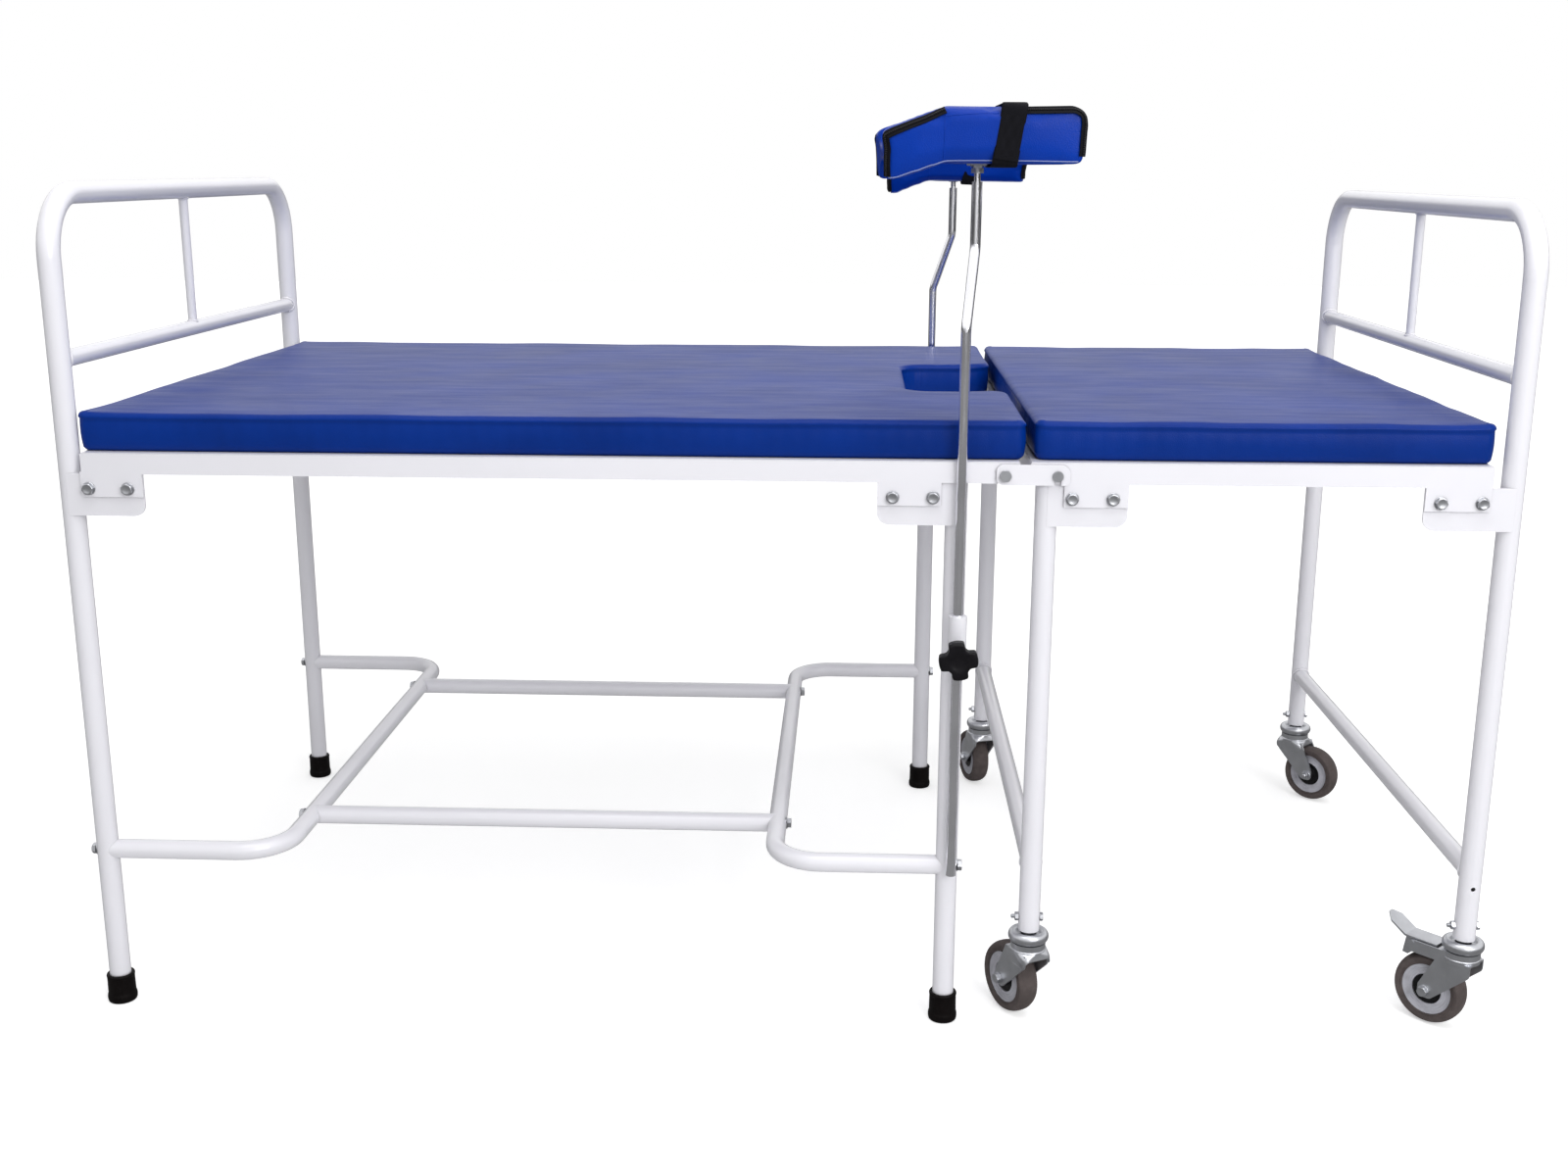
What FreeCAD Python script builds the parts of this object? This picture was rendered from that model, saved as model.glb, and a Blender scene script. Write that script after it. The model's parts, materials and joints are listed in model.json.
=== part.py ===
import FreeCAD, Part
import math
import os
import re
import Sketcher
from FreeCAD import Placement, Rotation, Vector

# Delivery bed in two sections. X runs from the head end to the foot end, Y across the bed with the
# near side at -Y, Z up from the floor. The origin is on the floor in the middle of the plan.
# All lengths are in millimetres and all angles in degrees.

SIZES = [
    # plan of the legs
    ("origin_x", 925.0, "head legs' axis to the origin"),
    ("bed_span", 1800.0, "head legs' axis to the foot legs' axis"),
    ("mid_leg", 1121.0, "head legs' axis to the middle legs' axis"),
    ("leg_gap", 111.0, "middle legs to the foot section's inner legs"),
    ("leg_pitch", 880.0, "leg axis to leg axis across the bed"),
    # hoops and legs
    ("leg_od", 28.0, "leg and hoop tube"),
    ("leg_wall", 1.6, "its wall"),
    ("head_top", 1076.5, "height of the head hoop's top bar"),
    ("foot_top", 1061.5, "height of the foot hoop's top bar"),
    ("hoop_bend", 78.0, "radius of the hoops' corners, on the tube's axis"),
    ("bar_od", 22.2, "crossbar tube"),
    ("tube_wall", 1.5, "wall of the crossbars, braces and low tubes"),
    ("head_bar", 874.0, "height of the head crossbar"),
    ("foot_bar", 865.0, "height of the foot crossbar"),
    ("spindle_od", 12.7, "spindle rod"),
    # ferrules
    ("ferrule_od", 38.6, "rubber ferrule"),
    ("ferrule_tall", 40.0, "height of a ferrule"),
    ("ferrule_sole", 6.0, "rubber under the tube"),
    # lower brace
    ("brace_od", 25.4, "brace and low tubes"),
    ("brace_z", 221.0, "height of the brace"),
    ("brace_bend", 63.0, "bend radius of the U tubes"),
    ("head_reach", 236.0, "head legs to the cross part of their U tube"),
    ("mid_reach", 228.0, "middle legs to the cross part of their U tube"),
    ("stretcher_pitch", 610.0, "stretcher to stretcher"),
    ("low_tube_z", 225.0, "height of the foot section's low tubes"),
    ("vent_d", 6.0, "vent hole under a low tube"),
    # frames
    ("frame_top", 759.0, "top of the angle iron"),
    ("rail_tall", 26.0, "upright web of the angle iron"),
    ("rail_flange", 26.0, "level flange of the angle iron"),
    ("rail_thick", 3.0, "thickness of the angle iron, its lugs and the corner plates"),
    ("leg_clear", 0.4, "leg to the inside of the web"),
    ("frame_gap", 22.0, "head legs' axis to the head frame"),
    ("frame_past", 76.0, "middle legs' axis to the head frame's end"),
    ("inner_past", 22.0, "inner legs' axis to the foot frame's start"),
    ("foot_gap", 30.0, "foot frame's end to the foot legs' axis"),
    ("lug_tall", 29.0, "lug below the web"),
    ("lug_long", 79.0, "length of a lug"),
    ("lug_off", 20.0, "leg axis to the lug"),
    ("foot_lug_off", 31.0, "foot legs' axis to the lug"),
    ("plate_tall", 54.0, "height of a corner plate"),
    ("plate_round", 15.0, "rounded lower corner of a corner plate"),
    # pivots
    ("bolt_d", 8.0, "pivot bolts and clamp screws"),
    ("bolt_af", 13.0, "across the flats of a head or nut"),
    ("head_tall", 5.3, "height of a bolt head"),
    ("nut_tall", 6.5, "height of a nut"),
    ("run_fit", 0.05, "radial clearance of a pin that turns in its hole"),
    ("pivot_gap", 0.3, "gap between faces that turn against each other"),
    # deck and mattresses
    ("deck_thick", 1.2, "steel deck"),
    ("deck_inset", 1.0, "frame's edge to the deck's edge"),
    ("pad_tall", 50.0, "mattress thickness"),
    ("pad_half", 447.0, "half width of a mattress"),
    ("pad_corner", 14.0, "rounded corners of a mattress in plan"),
    ("head_pad_start", 20.0, "head legs' axis to the mattress"),
    ("head_pad_past", 79.0, "middle legs' axis to the mattress's end"),
    ("foot_pad_in", 18.0, "inner legs' axis to the foot mattress's start"),
    ("foot_pad_gap", 24.0, "foot mattress's end to the foot legs' axis"),
    ("seat_deep", 134.0, "depth of the seat cut-out"),
    ("seat_half", 155.0, "half width of the seat cut-out"),
    ("seat_round", 36.0, "inner corners of the cut-out"),
    ("mouth_round", 34.0, "rounded corners at its mouth"),
    # latches
    ("latch_x", 58.0, "middle legs' axis to the latch pivot"),
    ("latch_z", 743.5, "height of the latch pivot"),
    ("latch_reach", 64.0, "pivot to stud"),
    ("latch_thick", 4.0, "latch bar"),
    ("latch_up", 14.0, "bar above the pivot"),
    ("latch_down", 11.5, "bar below the pivot"),
    ("latch_back", 11.0, "bar behind the pivot"),
    ("latch_tip", 15.0, "bar past the stud"),
    ("stud_d", 8.0, "stud shank"),
    ("stud_head_d", 13.0, "stud head"),
    ("stud_head", 3.0, "thickness of the stud head"),
    # castors
    ("leg_foot", 132.0, "floor to the lower end of a castor leg"),
    ("wheel_d", 96.0, "wheel"),
    ("wheel_wide", 28.0, "tyre width"),
    ("rim_d", 69.0, "rim under the tyre"),
    ("rim_wide", 25.0, "width of the wheel's centre"),
    ("hub_d", 22.0, "hub"),
    ("hub_wide", 32.0, "hub width"),
    ("axle_d", 8.0, "axle bolt"),
    ("castor_trail", 38.0, "stem axis to axle"),
    ("fork_inside", 33.0, "between the fork's legs"),
    ("fork_thick", 2.6, "fork sheet"),
    ("fork_over", 5.0, "wheel to the underside of the fork's bridge"),
    ("fork_eye", 9.0, "radius of the fork's end round the axle"),
    ("fork_back", 21.0, "fork behind the stem axis"),
    ("fork_front", 24.0, "fork in front of the stem axis"),
    ("race_d", 46.0, "swivel race"),
    ("race_tall", 12.0, "height of the race on the fork"),
    ("cap_tall", 8.0, "straight rim of the raceway cap"),
    ("cap_top_d", 30.0, "top of the cap"),
    ("king_d", 12.0, "king pin"),
    ("king_head_d", 18.0, "riveted head of the king pin"),
    ("king_head", 2.2, "its thickness"),
    ("stem_tall", 58.0, "stem inside the leg"),
    ("stem_clear", 0.15, "stem to the tube's bore"),
    ("axle_end", 6.0, "axle beyond the fork"),
    ("turn_inner_near", 118.0, "castor at rest: inner leg, near side"),
    ("turn_inner_far", 106.0, "castor at rest: inner leg, far side"),
    ("turn_foot_near", 134.0, "castor at rest: foot leg, near side"),
    ("turn_foot_far", 317.0, "castor at rest: foot leg, far side"),
    # brake
    ("brake_pin_x", 60.0, "stem axis to the brake pivot"),
    ("brake_pin_z", 110.0, "height of the brake pivot"),
    ("brake_pin_d", 5.0, "brake pivot pin"),
    ("brake_hood", 68.0, "stem axis to the end of the brake ears"),
    ("pedal_thick", 2.5, "pedal sheet"),
    ("pedal_reach", 104.0, "stem axis to the pedal's tip"),
    ("pedal_rise", 20.0, "tip above the pedal's plate"),
    ("shoe_gap", 3.2, "brake shoe to the tyre"),
    # crutches
    ("rod_d", 12.7, "crutch rod"),
    ("rod_off", 4.5, "middle leg's axis to the rod, along the bed"),
    ("rod_bottom", 217.0, "lower end of the rod"),
    ("crank_low", 924.0, "lower bend of the crank"),
    ("crank_high", 1016.0, "upper bend of the crank"),
    ("crank_out", 32.0, "offset of the crank"),
    ("crank_bend", 32.0, "bend radius of the crank"),
    ("rod_top", 1094.0, "shoulder at the rod's top"),
    ("spigot_d", 8.0, "spigot above the shoulder"),
    ("spigot_tall", 13.0, "its height"),
    ("far_drop", 18.0, "how much lower the far rod is clamped"),
    ("turn_near_rod", 72.0, "direction of the near crank"),
    ("turn_far_rod", 340.0, "direction of the far crank"),
    ("socket_od", 23.0, "socket tube"),
    ("socket_low", 500.0, "lower end of the socket"),
    ("socket_tall", 66.0, "length of the socket"),
    ("weld_bite", 0.7, "how far the socket is let into the leg"),
    ("screw_z", 517.0, "height of the clamp screw"),
    ("boss_d", 16.0, "threaded boss"),
    ("boss_len", 7.0, "boss beyond the socket"),
    ("knob_reach", 24.5, "axis to the end of a lobe"),
    ("knob_lobe", 9.5, "half width of a lobe"),
    ("knob_thick", 17.0, "knob thickness"),
    ("knob_neck_d", 20.0, "neck behind the knob"),
    ("knob_neck", 5.0, "its length"),
    # crutch heads, measured from the tilt bolt
    ("pivot_up", 23.0, "rod's shoulder to the tilt bolt"),
    ("tilt_d", 6.0, "tilt bolt"),
    ("collar_d", 15.0, "swivel collar"),
    ("collar_low", 13.0, "collar's lower face below the bolt"),
    ("eye_thick", 10.0, "eye between the ears"),
    ("eye_round", 6.0, "radius of the eye and of the ears"),
    ("ear_thick", 3.0, "ears of the gutter plate"),
    ("gutter_up", 8.5, "gutter plate above the bolt"),
    ("gutter_thick", 2.5, "gutter plate"),
    ("gutter_left", 38.0, "plate towards the head end"),
    ("gutter_right", 78.0, "plate towards the foot end"),
    ("crutch_left", 104.0, "cushion towards the head end"),
    ("crutch_right", 124.0, "cushion towards the foot end"),
    ("crutch_bend", 44.0, "bolt to the bend of the cushion"),
    ("crutch_droop", 16.0, "drop of the cushion's end"),
    ("crutch_low", 4.5, "cushion's lower edge below the bolt"),
    ("crutch_tall", 68.0, "height of the cushion's sides"),
    ("crutch_end_tall", 52.0, "height of the drooping end"),
    ("crutch_wide", 112.0, "width of the cushion"),
    ("crutch_corner", 8.0, "radius of the cushion's lower corners"),
    ("crutch_shoulder", 20.0, "radius of its upper corner at the foot end"),
    ("crutch_end_in", 6.0, "lean of the end towards the foot end"),
    ("crutch_end_out", 4.0, "lean of the drooping end"),
    ("crutch_side", 23.0, "thickness of its sides"),
    ("crutch_web", 22.0, "thickness of its floor"),
    ("crutch_shift", 14.0, "cushion's middle outwards of the rod"),
    ("strap_from", 16.0, "bolt to the strap"),
    ("strap_wide", 30.0, "strap width"),
    ("strap_thick", 2.0, "strap thickness"),
    ("soft_gap", 0.3, "strap to the cushion"),
    ("far_roll", 18.0, "far crutch tilted, outer side up"),
]

# Places that follow from the sizes above.
PLACES = {
    "head_x": "-origin_x",
    "mid_x": "mid_leg - origin_x",
    "inner_x": "mid_leg + leg_gap - origin_x",
    "foot_x": "bed_span - origin_x",
    "side_y": "leg_pitch / 2",
    "web_in": "leg_pitch / 2 + leg_od / 2 + leg_clear",
    "web_out": "leg_pitch / 2 + leg_od / 2 + leg_clear + rail_thick",
    "web_low": "frame_top - rail_tall",
    "foot_len": "bed_span - mid_leg - leg_gap",
    "head_end": "mid_leg + frame_past",
    "head_pad_end": "mid_leg + head_pad_past",
    "wheel_r": "wheel_d / 2",
    "bridge_low": "wheel_d + fork_over",
    "bridge_top": "wheel_d + fork_over + fork_thick",
    "race_top": "wheel_d + fork_over + fork_thick + race_tall",
    "fork_wide": "fork_inside + 2 * fork_thick",
    "rod_y": "leg_pitch / 2 + sqrt((leg_od / 2 + socket_od / 2 - weld_bite) ^ 2 - rod_off ^ 2)",
    "rod_x": "mid_leg + rod_off - origin_x",
    "pivot_z": "rod_top + pivot_up",
    "crutch_web_low": "gutter_up + gutter_thick",
}

VALUES = {name: number for name, number, note in SIZES}

doc = FreeCAD.newDocument("delivery_bed")
sheet = doc.addObject("Spreadsheet::Sheet", "Sizes")
for row, (name, number, note) in enumerate(SIZES, start=1):
    sheet.set("A%d" % row, note)
    sheet.set("B%d" % row, str(number))
    sheet.setAlias("B%d" % row, name)
doc.recompute()


def cells(text):
    """The expression with every size written as its cell and every place worked out."""
    def word(match):
        name = match.group(0)
        if name in PLACES:
            return "(" + cells(PLACES[name]) + ")"
        return "Sizes." + name if name in VALUES else name
    return re.sub(r"[a-z][a-z_]*", word, text)


def number(text):
    return float(sheet.evalExpression(cells(text)))


def bind(item, **texts):
    """Binds properties to sizes; a double underscore in a name stands for a dot."""
    for path, text in texts.items():
        item.setExpression(path.replace("__", "."), cells(text))


def place(item, x="0", y="0", z="0", turn=None):
    """Puts an item at x, y, z, turned about its upright axis by an angle from the sheet."""
    if turn is not None:
        item.Placement = Placement(Vector(), Rotation(Vector(0, 0, 1), 30))
        bind(item, Placement__Rotation__Angle=turn)
    bind(item, Placement__Base__x=x, Placement__Base__y=y, Placement__Base__z=z)
    return item


def new_body(name):
    body = doc.addObject("PartDesign::Body", name)
    body.Label = name
    return body


def new_sketch(body, name, role, offset=None):
    """A sketch on one of the body's own origin planes, lifted off it by an offset."""
    sketch = body.newObject("Sketcher::SketchObject", body.Name + "_" + name)
    plane = [f for f in body.Origin.OriginFeatures if f.Role == role][0]
    sketch.AttachmentSupport = [(plane, "")]
    sketch.MapMode = "FlatFace"
    if offset is not None:
        bind(sketch, AttachmentOffset__Base__z=offset)
    return sketch


def fix_point(sketch, item, end, x, y):
    """Ties a point of the sketch to x and y from its origin."""
    for kind, text in (("DistanceX", x), ("DistanceY", y)):
        index = sketch.addConstraint(Sketcher.Constraint(kind, -1, 1, item, end, number(text)))
        sketch.setExpression("Constraints[%d]" % index, cells(text))


def circle(sketch, diameter, x="0", y="0"):
    centre = Vector(number(x), number(y), 0)
    item = sketch.addGeometry(Part.Circle(centre, Vector(0, 0, 1), number(diameter) / 2), False)
    fix_point(sketch, item, 3, x, y)
    index = sketch.addConstraint(Sketcher.Constraint("Diameter", item, number(diameter)))
    sketch.setExpression("Constraints[%d]" % index, cells(diameter))


def arc_between(sketch, one, two, middle, through):
    """Adds a counter-clockwise arc between two points; returns it and the end that is at one."""
    def angle(point):
        return math.atan2(point.y - middle.y, point.x - middle.x) % (2 * math.pi)
    span = (angle(two) - angle(one)) % (2 * math.pi)
    forward = (angle(through) - angle(one)) % (2 * math.pi) < span
    first, last = (one, two) if forward else (two, one)
    ring = Part.Circle(middle, Vector(0, 0, 1), (one - middle).Length)
    low = angle(first)
    high = low + (angle(last) - low) % (2 * math.pi)
    return sketch.addGeometry(Part.ArcOfCircle(ring, low, high), False), (1 if forward else 2)


def outline(sketch, corners, rounds=None, arcs=None, closed=True):
    """Straight edges through the corners, with rounded corners and arcs where they are named.

    corners: (x, y) texts. rounds: corner number to radius. arcs: the number of a level edge to
    the height of the centre of an arc that bulges to the right of the way along that edge.
    """
    rounds = rounds or {}
    arcs = arcs or {}
    points = [Vector(number(x), number(y), 0) for x, y in corners]
    count = len(points)
    last = count if closed else count - 1
    marks = {}
    for i, (x, y) in enumerate(corners):
        if i in rounds:
            marks[i] = sketch.addGeometry(Part.Point(points[i]), True)
            fix_point(sketch, marks[i], 1, x, y)
    trims = {}
    for i in rounds:
        radius = number(rounds[i])
        back = (points[i - 1] - points[i]).normalize()
        ahead = (points[(i + 1) % count] - points[i]).normalize()
        half = back.getAngle(ahead) / 2
        run = radius / math.tan(half)
        middle = points[i] + (back + ahead).normalize() * (radius / math.sin(half))
        trims[i] = (points[i] + back * run, points[i] + ahead * run, middle, radius)
    ends = {}
    for i in range(last):
        j = (i + 1) % count
        start = trims[i][1] if i in trims else points[i]
        end = trims[j][0] if j in trims else points[j]
        if i in arcs:
            height = number(arcs[i])
            middle = Vector((start.x + end.x) / 2, height, 0)
            chord = end - start
            right = Vector(chord.y, -chord.x, 0).normalize()
            edge, first = arc_between(sketch, start, end, middle, middle + right)
            index = sketch.addConstraint(Sketcher.Constraint("DistanceY", -1, 1, edge, 3, height))
            sketch.setExpression("Constraints[%d]" % index, cells(arcs[i]))
        else:
            edge, first = sketch.addGeometry(Part.LineSegment(start, end), False), 1
        ends[i] = (edge, first, 3 - first)
    for i, (x, y) in enumerate(corners):
        before = ends.get(i - 1 if i else (count - 1 if closed else None))
        after = ends.get(i)
        if i not in rounds:
            if after:
                fix_point(sketch, after[0], after[1], x, y)
            if before and after:
                sketch.addConstraint(
                    Sketcher.Constraint("Coincident", before[0], before[2], after[0], after[1]))
            elif before:
                fix_point(sketch, before[0], before[2], x, y)
            continue
        sketch.addConstraint(Sketcher.Constraint("PointOnObject", marks[i], 1, before[0]))
        sketch.addConstraint(Sketcher.Constraint("PointOnObject", marks[i], 1, after[0]))
        one, two, middle, radius = trims[i]
        arc, at_one = arc_between(sketch, one, two, middle, points[i])
        sketch.addConstraint(Sketcher.Constraint("Tangent", before[0], before[2], arc, at_one))
        sketch.addConstraint(Sketcher.Constraint("Tangent", after[0], after[1], arc, 3 - at_one))
        index = sketch.addConstraint(Sketcher.Constraint("Radius", arc, radius))
        sketch.setExpression("Constraints[%d]" % index, cells(rounds[i]))
    return sketch


def box_outline(sketch, x_low, x_high, y_low, y_high, rounds=None):
    corners = [(x_low, y_low), (x_high, y_low), (x_high, y_high), (x_low, y_high)]
    return outline(sketch, corners, rounds)


def pad(body, sketch, length, both=False, back=False):
    feature = body.newObject("PartDesign::Pad", sketch.Name + "_pad")
    feature.Profile = sketch
    feature.SideType = "Symmetric" if both else "One side"
    feature.Reversed = back
    bind(feature, Length=length)
    sketch.Visibility = False
    return feature


def pocket(body, sketch, length=None, both=True, back=False):
    """Cuts through everything, or to a length; back turns the cut to the other side."""
    feature = body.newObject("PartDesign::Pocket", sketch.Name + "_pocket")
    feature.Profile = sketch
    feature.SideType = "Symmetric" if both else "One side"
    feature.Reversed = back
    if length is None:
        feature.Type = "ThroughAll"
    else:
        bind(feature, Length=length)
    return feature


def revolve(body, sketch, axis="V_Axis"):
    feature = body.newObject("PartDesign::Revolution", sketch.Name + "_turned")
    feature.Profile = sketch
    feature.ReferenceAxis = (sketch, [axis])
    feature.Angle = 360
    return feature


def drill(body, name, role, diameter, spots, length=None, both=True, back=False, offset=None):
    sketch = new_sketch(body, name, role, offset)
    for x, y in spots:
        circle(sketch, diameter, x, y)
    return pocket(body, sketch, length, both, back)


def tube(name, role, od, wall, length, both=False, offset=None):
    """A straight tube whose length stands on one of the origin planes."""
    body = new_body(name)
    ring = new_sketch(body, "ring", role, offset)
    circle(ring, od)
    circle(ring, od + " - 2 * " + wall)
    pad(body, ring, length, both)
    return body


def bent_tube(name, plane, start_plane, corners, radius, od, start):
    """A tube bent round the inner corners of a path that starts square to the start plane.

    Its bends and what lies between them are closed, so only its open ends are bored.
    """
    body = new_body(name)
    path = new_sketch(body, "path", plane)
    rounds = {i: radius for i in range(1, len(corners) - 1)}
    outline(path, corners, rounds, closed=False)
    ring = new_sketch(body, "ring", start_plane, start[2])
    circle(ring, od, start[0], start[1])
    pipe = body.newObject("PartDesign::AdditivePipe", name + "_pipe")
    pipe.Profile = ring
    pipe.Spine = (path, [])
    return body


def link(name, source, **where):
    """Another copy of a solid, with a place of its own."""
    item = doc.addObject("App::Link", name)
    item.LinkedObject = source
    return place(item, **where)


def mirror(name, source):
    """The same solids on the other side of the bed."""
    item = doc.addObject("Part::Mirroring", name)
    item.Source = source
    item.Normal = Vector(0, 1, 0)
    return item


def group(name, items):
    item = doc.addObject("Part::Compound", name)
    item.Links = items
    item.Label = name
    return item


def hex_bolt(name, shank, af, head, length, grip=None, nut=None):
    """A hex bolt on +Z: its seat is at z 0, the head above it and the shank below."""
    parts = []
    seat = doc.addObject("Part::Prism", name + "_head")
    seat.Polygon = 6
    bind(seat, Circumradius=af + " / 2 / cos(30)", Height=head)
    parts.append(seat)
    stem = doc.addObject("Part::Cylinder", name + "_shank")
    bind(stem, Radius=shank + " / 2", Height=length, Placement__Base__z="-(" + length + ")")
    parts.append(stem)
    if nut is not None:
        ring = doc.addObject("Part::Prism", name + "_nut")
        ring.Polygon = 6
        low = "-(" + grip + ") - " + nut
        bind(ring, Circumradius=af + " / 2 / cos(30)", Height=nut, Placement__Base__z=low)
        parts.append(ring)
    bolt = doc.addObject("Part::MultiFuse", name)
    bolt.Shapes = parts
    return bolt


SIDE = {"near": "-", "far": ""}
NODES = []


def keep(*items):
    NODES.extend(items)


# Hoops, legs and cross tubes

def hoop(name, x, top, foot):
    """Two legs and the top bar from one tube, bent round two corners."""
    corners = [("-side_y", foot), ("-side_y", top), ("side_y", top), ("side_y", foot)]
    body = bent_tube(name, "YZ_Plane", "XY_Plane", corners, "hoop_bend", "leg_od",
                     ("0", "-side_y", foot))
    drill(body, "bores", "XY_Plane", "leg_od - 2 * leg_wall", [("0", "-side_y"), ("0", "side_y")],
          length="%s - hoop_bend - %s" % (top, foot), both=False, back=True, offset=foot)
    return place(body, x=x)


def cross_tube(name, x, z, od):
    """A tube across the bed whose ends are coped to fit round the legs."""
    body = tube(name, "XZ_Plane", od, "tube_wall", "leg_pitch", both=True)
    drill(body, "cope", "XY_Plane", "leg_od", [("0", "-side_y"), ("0", "side_y")])
    return place(body, x=x, z=z)


def spindle(name, x, low, high, low_od):
    """The upright rod in the middle of a hoop, coped on both bars."""
    body = new_body(name)
    circle(new_sketch(body, "disc", "XY_Plane"), "spindle_od")
    rise = high + " - " + low
    pad(body, doc.getObject(name + "_disc"), rise)
    drill(body, "cope_low", "XZ_Plane", low_od, [("0", "0")])
    drill(body, "cope_high", "XZ_Plane", "leg_od", [("0", rise)])
    return place(body, x=x, z=low)


def straight_leg(name, x, y, foot):
    """A leg that ends under the flange of the frame."""
    body = tube(name, "XY_Plane", "leg_od", "leg_wall", "frame_top - rail_thick - " + foot)
    return place(body, x=x, y=y, z=foot)


head_hoop = hoop("head_hoop", "head_x", "head_top", "ferrule_sole")
head_crossbar = cross_tube("head_crossbar", "head_x", "head_bar", "bar_od")
head_spindle = spindle("head_spindle", "head_x", "head_bar", "head_top", "bar_od")
keep(head_hoop, head_crossbar, head_spindle)

for side in ("near", "far"):
    keep(straight_leg("middle_leg_" + side, "mid_x", SIDE[side] + "side_y", "ferrule_sole"))

foot_hoop = hoop("foot_hoop", "foot_x", "foot_top", "leg_foot")
vent_z = "low_tube_z - brace_od / 2 - vent_d"
drill(foot_hoop, "vents", "XZ_Plane", "vent_d", [("0", vent_z)],
      length="leg_od / 2 + 1", both=False, back=True, offset="side_y")
foot_crossbar = cross_tube("foot_crossbar", "foot_x", "foot_bar", "bar_od")
foot_spindle = spindle("foot_spindle", "foot_x", "foot_bar", "foot_top", "bar_od")
foot_low_tube = cross_tube("foot_low_tube", "foot_x", "low_tube_z", "brace_od")
inner_low_tube = cross_tube("inner_low_tube", "inner_x", "low_tube_z", "brace_od")
keep(foot_hoop, foot_crossbar, foot_spindle, foot_low_tube, inner_low_tube)

for side in ("near", "far"):
    keep(straight_leg("inner_leg_" + side, "inner_x", SIDE[side] + "side_y", "leg_foot"))

# The ferrules are cups with a thick sole; the tubes stand inside them.
ferrule = new_body("ferrule")
cup = [("0", "0"), ("ferrule_od / 2", "0"), ("ferrule_od / 2", "ferrule_tall"),
       ("leg_od / 2", "ferrule_tall"), ("leg_od / 2", "ferrule_sole"), ("0", "ferrule_sole")]
revolve(ferrule, outline(new_sketch(ferrule, "cup", "XZ_Plane"), cup))
near_ferrules = [
    link("ferrule_head_near", ferrule, x="head_x", y="-side_y"),
    link("ferrule_middle_near", ferrule, x="mid_x", y="-side_y"),
    link("ferrule_head_far", ferrule, x="head_x", y="side_y"),
    link("ferrule_middle_far", ferrule, x="mid_x", y="side_y"),
]
keep(group("leg_ferrules", near_ferrules))


# Lower brace

def brace(name, x, reach, turn):
    """A U tube: two arms from the legs and a cross part between them."""
    corners = [("0", "-side_y"), (reach, "-side_y"), (reach, "side_y"), ("0", "side_y")]
    body = bent_tube(name, "XY_Plane", "YZ_Plane", corners, "brace_bend", "brace_od",
                     ("-side_y", "0", "0"))
    drill(body, "bores", "YZ_Plane", "brace_od - 2 * tube_wall", [("-side_y", "0"), ("side_y", "0")],
          length=reach + " - brace_bend", both=False, back=True)
    drill(body, "cope", "XY_Plane", "leg_od", [("0", "-side_y"), ("0", "side_y")])
    body.Placement = Placement(Vector(), Rotation(Vector(0, 0, 1), turn))
    bind(body, Placement__Base__x=x, Placement__Base__z="brace_z")
    return body


keep(brace("brace_head_end", "head_x", "head_reach", 0),
     brace("brace_foot_end", "mid_x", "mid_reach", 180))

stretcher_len = "mid_leg - mid_reach - head_reach"
stretcher = tube("stretcher", "YZ_Plane", "brace_od", "tube_wall", stretcher_len, both=True)
drill(stretcher, "copes", "XZ_Plane", "brace_od",
      [("-(%s) / 2" % stretcher_len, "0"), ("(%s) / 2" % stretcher_len, "0")])
middle = "head_x + head_reach + (%s) / 2" % stretcher_len
keep(group("stretchers", [
    link("stretcher_near", stretcher, x=middle, y="-stretcher_pitch / 2", z="brace_z"),
    link("stretcher_far", stretcher, x=middle, y="stretcher_pitch / 2", z="brace_z"),
]))

to_near = Rotation(Vector(1, 0, 0), 90)


# Frames, decks and mattresses

def lug_edges(leg, way, off):
    """The two ends of a lug along the bed, counted from its leg."""
    near = "%s %s %s" % (leg, way, off)
    far = "%s %s (%s + lug_long)" % (leg, way, off)
    return (near, far) if way == "+" else (far, near)


def frame(name, x, start, end, lugs):
    """An angle-iron rectangle with a lug below the web at each corner."""
    body = new_body(name)
    flange = new_sketch(body, "flange", "XY_Plane", "frame_top - rail_thick")
    box_outline(flange, start, end, "-web_out", "web_out")
    box_outline(flange, start + " + rail_flange", end + " - rail_flange",
                "-web_out + rail_flange", "web_out - rail_flange")
    pad(body, flange, "rail_thick")
    web = new_sketch(body, "web", "XY_Plane", "web_low")
    box_outline(web, start, end, "-web_out", "web_out")
    box_outline(web, start + " + rail_thick", end + " - rail_thick", "-web_in", "web_in")
    pad(body, web, "rail_tall - rail_thick")
    for side, plane, back in (("near", "web_in", False), ("far", "-web_in", True)):
        lug = new_sketch(body, "lugs_" + side, "XZ_Plane", plane)
        for leg, way, off in lugs:
            low, high = lug_edges(leg, way, off)
            box_outline(lug, low, high, "web_low - lug_tall", "web_low + rail_thick")
        pad(body, lug, "rail_thick", back=back)
    return place(body, x=x)


head_frame = frame("head_frame", "head_x", "frame_gap", "head_end",
                   [("0", "+", "lug_off"), ("mid_leg", "-", "lug_off")])
drill(head_frame, "pivot_holes", "XZ_Plane", "bolt_d + 2 * run_fit",
      [("mid_leg + latch_x", "latch_z")])
foot_frame = frame("foot_frame", "inner_x", "-inner_past", "foot_len - foot_gap",
                   [("0", "+", "lug_off"), ("foot_len", "-", "foot_lug_off")])
keep(head_frame, foot_frame)


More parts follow.
